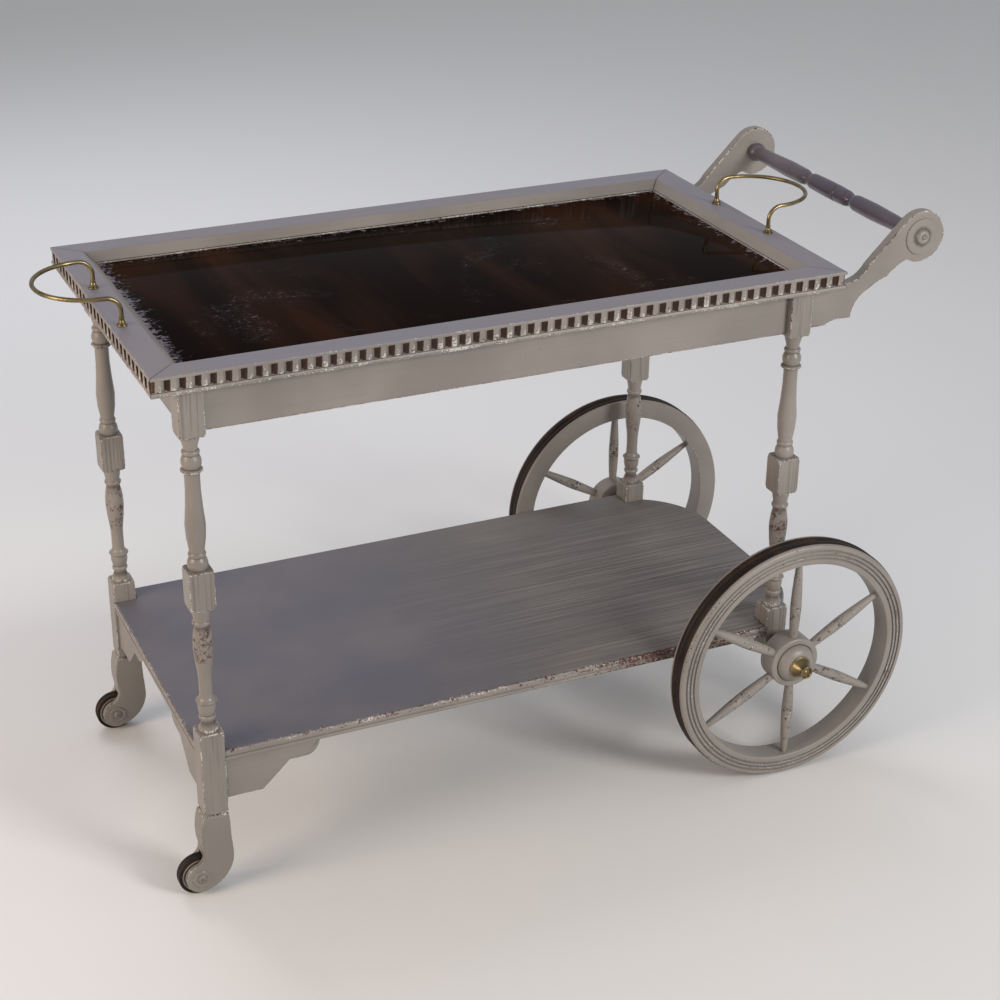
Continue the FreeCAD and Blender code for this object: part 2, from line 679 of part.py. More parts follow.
def lower_shelf():
    """A board notched round the four legs, with round corners at the wheel end and a grooved edge."""
    left = LEFT_X - HALF_BLOCK
    left_inner = LEFT_X + HALF_BLOCK
    right_inner = RIGHT_X - HALF_BLOCK
    right_outer = RIGHT_X + HALF_BLOCK
    front = SIDE_Y + HALF_BLOCK
    inner = SIDE_Y - HALF_BLOCK
    tip = right_outer + S.shelf_reach
    centre = tip - S.shelf_corner
    chord = right_outer - centre
    rise_text = "sqrt(%s * %s - %s * %s)" % (S.shelf_corner.text, S.shelf_corner.text, chord.text, chord.text)
    rise = Size(math.sqrt(S.shelf_corner.value ** 2 - chord.value ** 2), rise_text)
    straight = inner - rise
    half_turn = S.shelf_corner * DIAGONAL
    half = [(tip, Size.of(0)), (tip, straight),
            ("via", (centre + half_turn, straight + half_turn), (right_outer, inner)),
            (right_inner, inner), (right_inner, front), (left_inner, front), (left_inner, inner), (left, inner)]
    body = new_body("shelf", 0, 0, SHELF_LOW)
    pad = body.newObject("PartDesign::Pad", "board")
    pad.Profile = sketch_in(body, "XY_Plane", mirrored(half))
    bind(pad, "Length", S.shelf_thick)
    groove_low = SHELF_LOW + 0.36 * S.shelf_thick
    groove_high = groove_low + S.shelf_groove
    grooves = []
    for side in (-1, 1):
        edge = side * front
        inside = side * (front - S.shelf_groove)
        ends = (edge, inside) if side < 0 else (inside, edge)
        grooves.append(box((left_inner, ends[0], groove_low), (right_inner, ends[1], groove_high)))
    grooves.append(box((left, -inner, groove_low), (left + S.shelf_groove, inner, groove_high)))
    node(cut(body, grooves), "lower_shelf")


def bracket_outline():
    """Seen from outside, with the leg on the left: straight foot, slope, step and rounded nose."""
    shoulder = S.bracket_long - 0.33 * S.bracket_long
    nose = S.bracket_nose
    return [(0, 0), (0, -S.bracket_tall), (S.bracket_foot, -S.bracket_tall), (shoulder, -nose),
            (S.bracket_long - nose, -nose),
            ("via", (S.bracket_long - nose + DIAGONAL * nose, -DIAGONAL * nose), (S.bracket_long, 0))]


def brackets():
    outline = bracket_outline()
    setback = HALF_BLOCK - S.bracket_recess - S.bracket_thick / 2
    for name, side in SIDES:
        node(sawn("bracket", outline, S.bracket_thick, "XZ_Plane",
                  LEFT_X + HALF_BLOCK, side * (SIDE_Y + setback), SHELF_LOW), "bracket_" + name)
        node(sawn("bracket", outline, S.bracket_thick, "XZ_Plane",
                  LEFT_X - setback, side * (SIDE_Y - HALF_BLOCK), SHELF_LOW, TURN(UP, -90 * side)),
             "bracket_left_" + name)


# Push handle

def handle_arm(label, side):
    """A sawn arm: straight root beside the post, rising neck and round end."""
    root = RIGHT_X + HALF_BLOCK
    disc = S.arm_disc / 2
    top = S.deck_height - S.arm_gap
    low = top - S.arm_root_tall
    toe = root + S.arm_root
    joint_x = BAR_X - disc * DIAGONAL
    joint_z = BAR_Z + disc * DIAGONAL
    cusp_x = BAR_X - 0.559 * disc
    cusp_z = BAR_Z - 0.829 * disc
    bend_x = joint_x - (joint_z - top - 20)
    ledge = low + 5.5
    outline = [
        (root, low), (root, top), (bend_x - 32, top),
        ("via", (bend_x - 14, top + 5.6), (bend_x, top + 20)),
        (joint_x, joint_z),
        ("via", (BAR_X + disc, BAR_Z), (cusp_x, cusp_z)),
        ("via", (cusp_x - 13, cusp_z - 6), (cusp_x - 28, cusp_z - 19)),
        ("via", (0.5 * (cusp_x - 28) + 0.5 * (toe + 20) + 1, 0.5 * (cusp_z - 19) + 0.5 * (ledge + 34) + 2),
         (toe + 20, ledge + 34)),
        ("via", (toe + 6.5, ledge + 21), (toe, ledge)),
        (toe - 23, ledge), ("via", (toe - 32, ledge - 1.6), (toe - 39, low)),
    ]
    board = sawn("arm", outline, S.arm_thick, "XZ_Plane", 0, side * SIDE_Y)
    tenon = box((root - S.tenon_long, side * SIDE_Y - S.tenon_thick / 2, TENON_Z - S.tenon_tall / 2),
                (root, side * SIDE_Y + S.tenon_thick / 2, TENON_Z + S.tenon_tall / 2))
    start = -BAR_HALF - S.bar_tenon_long if side < 0 else BAR_HALF
    bore = across(S.bar_tenon, S.bar_tenon_long, BAR_X, start, BAR_Z)
    return node(cut(fuse([board, tenon]), [bore]), label)


def push_bar():
    """Three turned barrels with two necks, collars at the arms and a tenon in each arm."""
    thick = S.bar_wide / 2
    neck = S.bar_neck / 2
    end = S.bar_end / 2
    tenon = S.bar_tenon / 2
    waist = S.bar_middle / 2
    span = BAR_HALF - waist
    half = [
        (thick, Size.of(0)), ("via", (thick - 0.1, 0.35 * waist), (thick - 0.6, 0.66 * waist)),
        ("via", (0.6 * thick + 0.4 * neck, 0.87 * waist), (neck, waist - 1)), (neck, waist + 1),
        ("via", (0.6 * thick + 0.4 * neck, waist + 7), (thick - 0.6, waist + 17)),
        ("via", (thick, waist + 0.3 * span), (thick - 1, waist + 0.58 * span)),
        (end, BAR_HALF - 14), ("via", (S.bar_collar / 2, BAR_HALF - 6.5), (end + 1.5, BAR_HALF)),
        (tenon, BAR_HALF), (tenon, BAR_HALF + S.bar_tenon_long), (0, BAR_HALF + S.bar_tenon_long)]
    node(turned("bar", mirrored(half), "XY_Plane", BAR_X, 0, BAR_Z), "push_bar")


def rosette_outline(wide, thick, button):
    """A dished disc with a dimpled button, standing on y = 0 and facing -y."""
    edge = wide / 2
    knob = button / 2
    return [(0, 0), (edge, 0), (edge, -0.5 * thick),
            ("via", (edge - 0.2 * thick, -0.85 * thick), (edge - 0.7 * thick, -thick)),
            ("via", (0.5 * edge + 0.5 * knob, -0.6 * thick), (knob + 0.6 * thick, -0.45 * thick)), (knob, -thick),
            ("via", (0.75 * knob, -1.8 * thick), (0.4 * knob, -2 * thick)),
            (0.3 * knob, -1.6 * thick), (0, -1.6 * thick)]


def handle_rosettes():
    for name, side in SIDES:
        node(turned("rosette", rosette_outline(S.rosette_wide, S.rosette_thick, S.rosette_button), "XY_Plane",
                    BAR_X, side * (SIDE_Y + S.arm_thick / 2), BAR_Z,
                    TURN(UP, 0 if side < 0 else 180)), "handle_rosette_" + name)


# Axle and wheels

def axle_set():
    """The axle with bushes in the posts, washers between posts and hubs, and a nut at each end."""
    shoulder = WHEEL_Y + HUB_OUTER + S.side_play
    tip = shoulder + S.nut_thick + S.side_play
    main = S.axle_wide / 2
    thread = S.axle_thread / 2
    half = [(main, Size.of(0)), (main, shoulder), (thread, shoulder), (thread, tip), (0, tip)]
    node(turned("axle", mirrored(half), "XY_Plane", RIGHT_X, 0, AXLE_Z), "axle")
    bushes = []
    washers = []
    nuts = []
    face = SIDE_Y + HALF_BLOCK
    for side in (-1, 1):
        start = side * SIDE_Y - HALF_BLOCK
        sleeve = across(S.axle_wide + 2 * S.bush_wall, 2 * HALF_BLOCK, RIGHT_X, start, AXLE_Z)
        bushes.append(cut(sleeve, [across(S.axle_wide, 2 * HALF_BLOCK, RIGHT_X, start, AXLE_Z)]))
        near = face if side > 0 else -face - S.washer_thick
        ring = across(S.washer_wide, S.washer_thick, RIGHT_X, near, AXLE_Z)
        washers.append(cut(ring, [across(S.axle_wide, S.washer_thick, RIGHT_X, near, AXLE_Z)]))
        seat = shoulder if side > 0 else -shoulder - S.nut_thick
        hexagon = primitive("Prism", {"Circumradius": S.nut_wide / math.sqrt(3), "Height": S.nut_thick},
                            RIGHT_X, seat, AXLE_Z, TURN(ALONG_X, -90))
        nuts.append(cut(hexagon, [across(S.axle_thread, S.nut_thick, RIGHT_X, seat, AXLE_Z)]))
    node(group(bushes), "axle_bushes")
    node(group(washers), "axle_washers")
    node(group(nuts), "axle_nuts")


def spoke_angles():
    return [360.0 * number / S.spoke_count.value for number in range(int(S.spoke_count.value))]


def radial(diameter, start, end, x, y, angle):
    """A cylinder along a spoke's direction, between two distances from the wheel's axis."""
    turn = math.radians(angle)
    return cylinder(diameter, end - start, x + start * math.sin(turn), y, AXLE_Z + start * math.cos(turn),
                    TURN(ALONG_Y, angle))


def spoke(x, y, angle):
    """A turned spoke, thickest nearer the hub, with a pair of fine grooves."""
    low = S.hub_wide / 2
    high = RIM_INNER
    hub_end = S.spoke_hub_end / 2
    rim_end = S.spoke_rim_end / 2
    thick = S.spoke_wide / 2
    belly = low + 0.42 * (high - low)
    outline = [
        (0, low - S.spoke_seat), (hub_end, low - S.spoke_seat), (hub_end, low),
        ("via", (0.35 * hub_end + 0.65 * thick, 0.5 * low + 0.5 * belly), (thick, belly - 3.2)),
        (thick - 0.8, belly - 2.4), (thick, belly - 1.6), (thick, belly + 1.6),
        (thick - 0.8, belly + 2.4), (thick, belly + 3.2),
        ("via", (0.34 * rim_end + 0.66 * thick, 0.5 * high + 0.5 * belly), (rim_end, high)),
        (rim_end, high + S.spoke_seat), (0, high + S.spoke_seat)]
    return turned("spoke", outline, "XZ_Plane", x, y, AXLE_Z, TURN(ALONG_Y, angle))


def rim_outline():
    """Section of the rim: plain inner face, channel for the tyre, beaded and grooved outer face."""
    rim = S.wheel_wide / 2
    channel = S.tyre_deep / 2
    floor = rim - S.tyre_seat
    face = -RIM_HALF
    outline = [(RIM_INNER, RIM_HALF), (rim - 2, RIM_HALF), (rim, RIM_HALF - 2), (rim, channel),
               (floor, channel), (floor, -channel), (rim, -channel), (rim, face + S.rim_bead),
               ("via", (rim - 0.29 * S.rim_bead, face + 0.29 * S.rim_bead), (rim - S.rim_bead, face))]
    for number in range(3):
        start = rim - 7.2 - 5.4 * number
        outline += [(start, face), ("via", (start - 1.3, face + S.rim_groove), (start - 2.6, face))]
    outline += [(RIM_INNER + 1.5, face), ("via", (RIM_INNER + 0.44, face + 0.44), (RIM_INNER, face + 1.5))]
    return outline


def tyre_outline():
    rim = S.wheel_wide / 2
    edge = S.tyre_deep / 2
    return [(rim - S.tyre_seat, -edge), (rim - S.tyre_seat, edge), (rim, edge),
            ("via", (rim + S.tyre_proud, 0.55 * edge), (rim - S.tyre_dip, Size.of(0))),
            ("via", (rim + S.tyre_proud, -0.55 * edge), (rim, -edge))]


def hub_outline():
    """Section of the hub: inner boss, drum, and stepped dome on the outside."""
    bore = BUSH_WIDE / 2
    drum = S.hub_wide / 2
    dome = S.hub_dome / 2
    tip = S.cap_wide / 2 + 1
    face = -RIM_HALF
    end = -HUB_OUTER
    return [(bore, HUB_INNER), (S.hub_boss / 2, HUB_INNER), (S.hub_boss / 2, RIM_HALF), (drum - 2, RIM_HALF),
            (drum, RIM_HALF - 2), (drum, face + 3), ("via", (drum - 0.9, face + 0.9), (drum - 3, face)),
            (dome + 1.2, face), (dome + 0.6, face + 1.2), (dome, face + 1.2), (dome, face - 1.5),
            ("via", (0.35 * tip + 0.65 * dome, 0.36 * face + 0.64 * end), (tip, end)), (bore, end)]


def cap_outline():
    """Section of the brass hub cap: hollow cone with a ringed end."""
    base = -HUB_OUTER
    hollow = S.cap_hollow / 2
    end = S.cap_end / 2
    floor = base - S.cap_hollow_deep
    rim = base - S.cap_long + 4
    tip = base - S.cap_long
    return [(0, floor), (hollow, floor), (hollow, base), (S.cap_wide / 2, base), (S.cap_wide / 2, base - 1.5),
            (end, rim), ("via", (end + 1, rim - 1.2), (end, rim - 2.4)), (end - 0.4, tip), (end - 2, tip),
            (end - 2.8, tip + 1.2), (end - 4.6, tip + 1.2), (end - 5.2, tip + 0.4), (0, tip + 0.4)]


def wheel(name, side):
    """One spoked wheel: rim, tyre, hub, bush, spokes and cap, with its outer face away from the cart."""
    y = side * WHEEL_Y
    facing = TURN(UP, 0 if side < 0 else 180)

    def part(outline):
        return turned("wheel", outline, "XY_Plane", RIGHT_X, y, AXLE_Z, facing)
    spoke_y = side * (WHEEL_Y + S.spoke_ahead)
    low = S.hub_wide / 2
    rim_holes = []
    hub_holes = []
    spokes = []
    for angle in spoke_angles():
        far = RIM_INNER + S.spoke_seat
        rim_holes.append(radial(S.spoke_rim_end, RIM_INNER - 2, far, RIGHT_X, spoke_y, angle))
        hub_holes.append(radial(S.spoke_hub_end, low - S.spoke_seat, low + 2, RIGHT_X, spoke_y, angle))
        spokes.append(spoke(RIGHT_X, spoke_y, angle))
    bore = S.axle_wide / 2 + S.running_fit
    outer = BUSH_WIDE / 2
    node(cut(part(rim_outline()), rim_holes), "wheel_rim_" + name)
    node(part(tyre_outline()), "wheel_tyre_" + name)
    node(cut(part(hub_outline()), hub_holes), "wheel_hub_" + name)
    node(part(rectangle((bore, -HUB_OUTER), (outer, HUB_INNER))), "wheel_bush_" + name)
    node(group(spokes), "wheel_spokes_" + name)
    node(part(cap_outline()), "wheel_cap_" + name)


# Castors

def horn_outline():
    """Side view about the leg's axis: bevelled top, lobe, notch over the wheel, round end and belly."""
    end = S.castor_end / 2
    axle_x = -S.castor_trail
    shoulder = HALF_BLOCK - 0.5
    lobe = -S.castor_lobe

    def level(share):
        return CASTOR_TOP + share * (CASTOR_Z - CASTOR_TOP)

    def on_end(angle):
        turn = math.radians(angle)
        return (axle_x + end * math.cos(turn), CASTOR_Z + end * math.sin(turn))
    return [(shoulder, CASTOR_TOP), (-shoulder, CASTOR_TOP),
            (-shoulder - S.castor_bevel, CASTOR_TOP - 1.5 * S.castor_bevel),
            ("via", (lobe, level(0.3)), (lobe + 2.5, level(0.59))),
            ("via", (lobe + 1.2, level(0.7)), on_end(100)),
            ("via", on_end(190), on_end(285)),
            ("via", (0.42 * S.castor_back, level(1.03)), (S.castor_back, level(0.65))),
            ("via", (S.castor_back - 1.8, level(0.37)), (shoulder + 1, level(0.09)))]


def castor_horn(label, y):
    """The swivelling horn, slotted for its wheel and bored for stem and pin."""
    horn = sawn("horn", horn_outline(), S.castor_deep, "XZ_Plane", LEFT_X, y)
    doc.recompute()
    board = horn.Tip
    top_edges = []
    for number, edge in enumerate(board.Shape.Edges, start=1):
        ends = [vertex.Point for vertex in edge.Vertexes]
        if all(abs(point.z - CASTOR_TOP.value) < 1e-6 for point in ends) and abs(ends[0].y - ends[1].y) < 1e-6:
            top_edges.append("Edge%d" % number)
    bevel = horn.newObject("PartDesign::Chamfer", "bevel")
    bevel.Base = (board, top_edges)
    bind(bevel, "Size", S.castor_bevel)
    axle_x = LEFT_X - S.castor_trail
    slot = across(S.castor_wheel + 2 * S.castor_room, S.castor_slot, axle_x, y - S.castor_slot / 2, CASTOR_Z)
    pin = across(S.castor_pin, S.castor_deep + 2, axle_x, y - S.castor_deep / 2 - 1, CASTOR_Z)
    stem = cylinder(S.stem_wide, S.stem_seat + 1, LEFT_X, y, CASTOR_TOP - S.stem_seat)
    return node(cut(horn, [slot, pin, stem]), label)


def castor(name, side):
    y = side * SIDE_Y
    axle_x = LEFT_X - S.castor_trail
    castor_horn("castor_horn_" + name, y)
    node(cylinder(S.stem_wide, S.stem_long + S.leg_end - CASTOR_TOP + S.stem_seat,
                  LEFT_X, y, CASTOR_TOP - S.stem_seat), "castor_stem_" + name)
    node(across(S.castor_pin, S.castor_deep, axle_x, y - S.castor_deep / 2, CASTOR_Z), "castor_pin_" + name)
    rosettes = []
    for face in (-1, 1):
        outline = rosette_outline(S.castor_rosette, S.castor_rosette_thick, S.castor_rosette / 2.4)
        rosettes.append(turned("rosette", outline, "XY_Plane", axle_x, y + face * S.castor_deep / 2, CASTOR_Z,
                               TURN(UP, 0 if face < 0 else 180)))
    node(group(rosettes), "castor_rosettes_" + name)
    width = S.castor_wheel_wide
    seat = S.castor_wheel - 2 * S.castor_tyre
    disc = across(seat, width, axle_x, y - width / 2, CASTOR_Z)
    bore = across(S.castor_pin + 2 * S.running_fit, width, axle_x, y - width / 2, CASTOR_Z)
    node(cut(disc, [bore]), "castor_wheel_" + name)
    inner = seat / 2
    outer = S.castor_wheel / 2
    edge = width / 2
    tread = [(inner, -edge), (outer - 1.5, -edge), (outer, 1.5 - edge), (outer, -edge / 4),
             (outer - 1.2, Size.of(0)), (outer, edge / 4), (outer, edge - 1.5), (outer - 1.5, edge), (inner, edge)]
    node(turned("tread", tread, "XY_Plane", axle_x, y, CASTOR_Z), "castor_tyre_" + name)


def castor_sockets():
    sockets = []
    bore = S.stem_wide / 2 + S.running_fit
    sleeve = SOCKET_WIDE / 2
    low = S.leg_end - S.socket_flange_thick
    top = S.leg_end + S.stem_long
    flange = S.socket_flange / 2
    for side in (-1, 1):
        outline = [(bore, low), (flange, low), (flange, S.leg_end), (sleeve, S.leg_end), (sleeve, top), (bore, top)]
        sockets.append(turned("socket", outline, "XZ_Plane", LEFT_X, side * SIDE_Y))
    node(group(sockets), "castor_sockets")


def check_and_write():
    """Stops on any object that failed, then writes one STEP file per sub-part."""
    doc.recompute()
    for item in doc.Objects:
        if "Invalid" in item.State or "Error" in item.State:
            raise RuntimeError("%s failed: %s" % (item.Name, item.getStatusString()))
    os.makedirs("parts", exist_ok=True)
    for item in NODES:
        if item.Shape.isNull() or not item.Shape.isValid():
            raise RuntimeError("%s has no valid shape" % item.Label)
        item.Shape.exportStep("parts/%s.step" % item.Label)
        print(item.Label, len(item.Shape.Solids), round(item.Shape.Volume / 1000.0, 1), "cm3")


tray_rails()
tray_panels()
tray_handle("tray_handle_left", -1)
tray_handle("tray_handle_right", 1)
tray_handle_screws()
legs()
aprons()
lower_shelf()
brackets()
for arm_name, arm_side in SIDES:
    handle_arm("handle_arm_" + arm_name, arm_side)
push_bar()
handle_rosettes()
axle_set()
for wheel_name, wheel_side in SIDES:
    wheel(wheel_name, wheel_side)
for castor_name, castor_side in SIDES:
    castor(castor_name, castor_side)
castor_sockets()
check_and_write()
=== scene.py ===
"""Looks of a painted tea cart, built over its packed construction model."""
import logging
import math
from collections import Counter
from dataclasses import dataclass
from enum import Enum
from functools import partial
from typing import Sequence, Union

import bmesh
import bpy
from mathutils import Matrix, Vector


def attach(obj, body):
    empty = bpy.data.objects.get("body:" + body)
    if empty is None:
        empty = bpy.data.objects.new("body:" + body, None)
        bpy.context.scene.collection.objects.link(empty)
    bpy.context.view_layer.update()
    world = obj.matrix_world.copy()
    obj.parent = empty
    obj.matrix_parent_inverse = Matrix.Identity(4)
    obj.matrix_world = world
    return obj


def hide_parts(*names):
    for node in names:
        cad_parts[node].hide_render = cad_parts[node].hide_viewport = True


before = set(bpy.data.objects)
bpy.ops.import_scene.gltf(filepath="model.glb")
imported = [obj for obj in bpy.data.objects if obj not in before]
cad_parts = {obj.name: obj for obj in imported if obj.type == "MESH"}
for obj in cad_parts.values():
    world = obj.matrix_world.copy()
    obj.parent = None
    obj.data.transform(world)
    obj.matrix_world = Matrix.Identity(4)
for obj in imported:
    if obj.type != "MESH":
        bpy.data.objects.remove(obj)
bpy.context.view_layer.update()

LOG = logging.getLogger("tea_cart")
MM = 0.001
DIAGONAL = math.sqrt(0.5)
FULL_TURN = 2.0 * math.pi
MERGE = 1e-3
FLAT = 0.01

Vert = bmesh.types.BMVert
Edge = bmesh.types.BMEdge
Point = tuple[float, float]
Span = tuple[float, float]
Colour = tuple[float, float, float]
Place = tuple[float, float, float]

EVEN: Place = (1.0, 1.0, 1.0)
ORIGIN: Place = (0.0, 0.0, 0.0)


class Grain(Enum):
    """Direction in which the wood of a piece runs."""

    ALONG_X = 0
    ALONG_Y = 1
    ALONG_Z = 2
    ROUND = 3


class Coat(Enum):
    """The coats of grey paint, by what they lie on."""

    LONG = "long_boards"
    CROSS = "cross_boards"
    RAIL_LONG = "long_rails"
    RAIL_CROSS = "cross_rails"
    SHELF = "shelf"
    POST = "posts"
    HORN = "castor_forks"
    TURNED = "turned_pieces"
    SPOKE = "spokes"
    BAR = "push_bar"


class Side(Enum):
    """The two long sides of the cart, with the sign of their y."""

    FRONT = -1
    BACK = 1

    @property
    def word(self) -> str:
        """Name of the side as it stands in node names."""
        return self.name.lower()


class Plane(Enum):
    """The plane in which an outline is drawn, as its two axes."""

    XZ = (0, 2)
    XY = (0, 1)
    YZ = (1, 2)


@dataclass(frozen=True)
class Bow:
    """A curved step of an outline.

    Args:
        via: a point that the curve passes.
        end: the point where it ends.
    """

    via: Point
    end: Point


Step = Union[Point, Bow]


def end_of(step: Step) -> Point:
    """Returns the point where a step of an outline ends."""
    return step.end if isinstance(step, Bow) else step


def flipped(half: Sequence[Step]) -> list[Step]:
    """Mirrors an outline that starts on the first axis, and joins the two halves.

    Args:
        half: steps from the axis outwards.

    Returns:
        The whole outline, from the mirrored end to the given end.
    """
    steps: list[Step] = []
    last = len(half) - 1
    for index in range(last, -1, -1):
        across, up = end_of(half[index])
        above = half[index + 1] if index < last else None
        if isinstance(above, Bow):
            steps.append(Bow((above.via[0], -above.via[1]), (across, -up)))
        else:
            steps.append((across, -up))
    return steps + list(half[1:])


class Signal:
    """One output of a shader node, which takes part in Python arithmetic."""

    def __init__(self, tree: bpy.types.NodeTree, socket: bpy.types.NodeSocket) -> None:
        """Keeps the tree and the output socket."""
        self.tree = tree
        self.socket = socket

    def combine(self, operation: str, first: "Value", second: "Value") -> "Signal":
        """Adds a Math node.

        Args:
            operation: the Math node's operation.
            first: its first value.
            second: its second value.

        Returns:
            The node's output.
        """
        node = self.tree.nodes.new("ShaderNodeMath")
        node.operation = operation
        for index, value in enumerate((first, second)):
            feed(self.tree, node.inputs[index], value)
        return Signal(self.tree, node.outputs[0])

    def __add__(self, other: "Value") -> "Signal":
        """Returns self + other."""
        return self.combine("ADD", self, other)

    def __radd__(self, other: "Value") -> "Signal":
        """Returns other + self."""
        return self.combine("ADD", other, self)

    def __sub__(self, other: "Value") -> "Signal":
        """Returns self - other."""
        return self.combine("SUBTRACT", self, other)

    def __rsub__(self, other: "Value") -> "Signal":
        """Returns other - self."""
        return self.combine("SUBTRACT", other, self)

    def __mul__(self, other: "Value") -> "Signal":
        """Returns self * other."""
        return self.combine("MULTIPLY", self, other)

    def __rmul__(self, other: "Value") -> "Signal":
        """Returns other * self."""
        return self.combine("MULTIPLY", other, self)

    def __or__(self, other: "Value") -> "Signal":
        """Returns the larger of the two, which joins two masks."""
        return self.combine("MAXIMUM", self, other)


Value = Union[Signal, float]


def feed(tree: bpy.types.NodeTree, socket: bpy.types.NodeSocket, value: object) -> None:
    """Links a signal to a socket, or sets the socket's own value.

    Args:
        tree: the node tree.
        socket: an input socket.
        value: a signal, a number or a tuple of numbers.
    """
    if isinstance(value, Signal):
        tree.links.new(value.socket, socket)
    elif isinstance(value, tuple) and socket.type == "RGBA":
        socket.default_value = (*value, 1.0)
    else:
        socket.default_value = value


@dataclass(frozen=True)
class Noise:
    """A pattern of noise over the object, with values of about 0.3 to 0.7.

    Args:
        scale: cells to a metre.
        detail: finer layers.
        rough: strength of the finer layers.
        bend: distortion.
        stretch: cells on each axis, times the scale.
        offset: shift that sets it apart from like patterns.
    """

    scale: float
    detail: float = 3.0
    rough: float = 0.55
    bend: float = 0.0
    stretch: Place = EVEN
    offset: Place = ORIGIN


@dataclass(frozen=True)
class Band:
    """A rise from 0 to 1 along an axis of the object, in metres.

    Args:
        axis: X, Y or Z.
        start: where it is 0.
        end: where it is 1.
    """

    axis: str
    start: float
    end: float


NEVER = Band("Z", 8.0, 9.0)
ANYWHERE = Band("Z", 8.0, 7.0)
MOSTLY = Band("Z", 10.0, -5.0)
PARTLY = Band("Z", 10.0, -10.0)


class Brush:
    """The node tree of one material."""

    def __init__(self, name: str) -> None:
        """Makes an empty material with a surface shader.

        Args:
            name: name of the material.
        """
        self.material = bpy.data.materials.new(name)
        self.material.use_nodes = True
        self.tree = self.material.node_tree
        self.tree.nodes.clear()
        self.shader = self.tree.nodes.new("ShaderNodeBsdfPrincipled")
        output = self.tree.nodes.new("ShaderNodeOutputMaterial")
        self.tree.links.new(self.shader.outputs[0], output.inputs["Surface"])

    def node(self, kind: str, settings: dict[str, object], inputs: dict[object, object],
             output: object = 0) -> Signal:
        """Adds any node.

        Args:
            kind: the node's type.
            settings: its properties, set first.
            inputs: values or signals by the name or number of the socket.
            output: name or number of the output.

        Returns:
            The chosen output.
        """
        node = self.tree.nodes.new(kind)
        for name, value in settings.items():
            setattr(node, name, value)
        for name, value in inputs.items():
            feed(self.tree, node.inputs[name], value)
        return Signal(self.tree, node.outputs[output])

    def place(self) -> Signal:
        """Returns the object coordinates in metres."""
        return self.node("ShaderNodeTexCoord", {}, {}, "Object")

    def axis(self, name: str) -> Signal:
        """Returns one object coordinate in metres: X, Y or Z."""
        return self.node("ShaderNodeSeparateXYZ", {}, {"Vector": self.place()}, name)

    def noise(self, noise: Noise) -> Signal:
        """Adds a pattern of noise on object coordinates.

        Args:
            noise: the pattern.

        Returns:
            Its value.
        """
        vector = self.place()
        if (noise.stretch, noise.offset) != (EVEN, ORIGIN):
            vector = self.node("ShaderNodeMapping", {},
                               {"Vector": vector, "Scale": noise.stretch, "Location": noise.offset})
        return self.node("ShaderNodeTexNoise", {},
                         {"Vector": vector, "Scale": noise.scale, "Detail": noise.detail,
                          "Roughness": noise.rough, "Distortion": noise.bend})

    def mark(self, name: str) -> Signal:
        """Returns a mark that the mesh carries, such as its worn edges."""
        return self.node("ShaderNodeAttribute", {"attribute_name": name}, {}, "Fac")

    def ramp(self, value: Signal, low: float, high: float) -> Signal:
        """Returns 0 below low, 1 above high and a smooth rise between them."""
        return self.node("ShaderNodeMapRange", {"interpolation_type": "SMOOTHSTEP"},
                         {"Value": value, "From Min": low, "From Max": high})

    def cracks(self, signal: Signal, wide: float) -> Signal:
        """Returns thin lines along the middle value of a noise."""
        return self.ramp(signal, 0.5 - wide, 0.5) * self.ramp(signal, 0.5 + wide, 0.5)

    def band(self, band: Band) -> Signal:
        """Returns the rise of a band."""
        return self.ramp(self.axis(band.axis), band.start, band.end)

    def overlap(self, bands: Sequence[Band]) -> Signal:
        """Joins bands into one mask.

        Args:
            bands: the bands.

        Returns:
            The mask, which is 1 where all of them have risen.
        """
        first, *rest = bands
        share = self.band(first)
        for band in rest:
            share = share * self.band(band)
        return share

    def mix(self, share: Signal, first: object, second: object) -> Signal:
        """Returns the first colour with a share of the second."""
        return self.node("ShaderNodeMix", {"data_type": "RGBA"}, {0: share, 6: first, 7: second}, 2)

    def relief(self, height: Signal, depth: float, strength: float) -> Signal:
        """Returns the normal over a height, whose unit is depth in metres."""
        return self.node("ShaderNodeBump", {}, {"Height": height, "Distance": depth, "Strength": strength})

    def finish(self, inputs: dict[str, object]) -> bpy.types.Material:
        """Feeds the surface shader.

        Args:
            inputs: values or signals by the name of the socket.

        Returns:
            The material.
        """
        for name, value in inputs.items():
            feed(self.tree, self.shader.inputs[name], value)
        return self.material


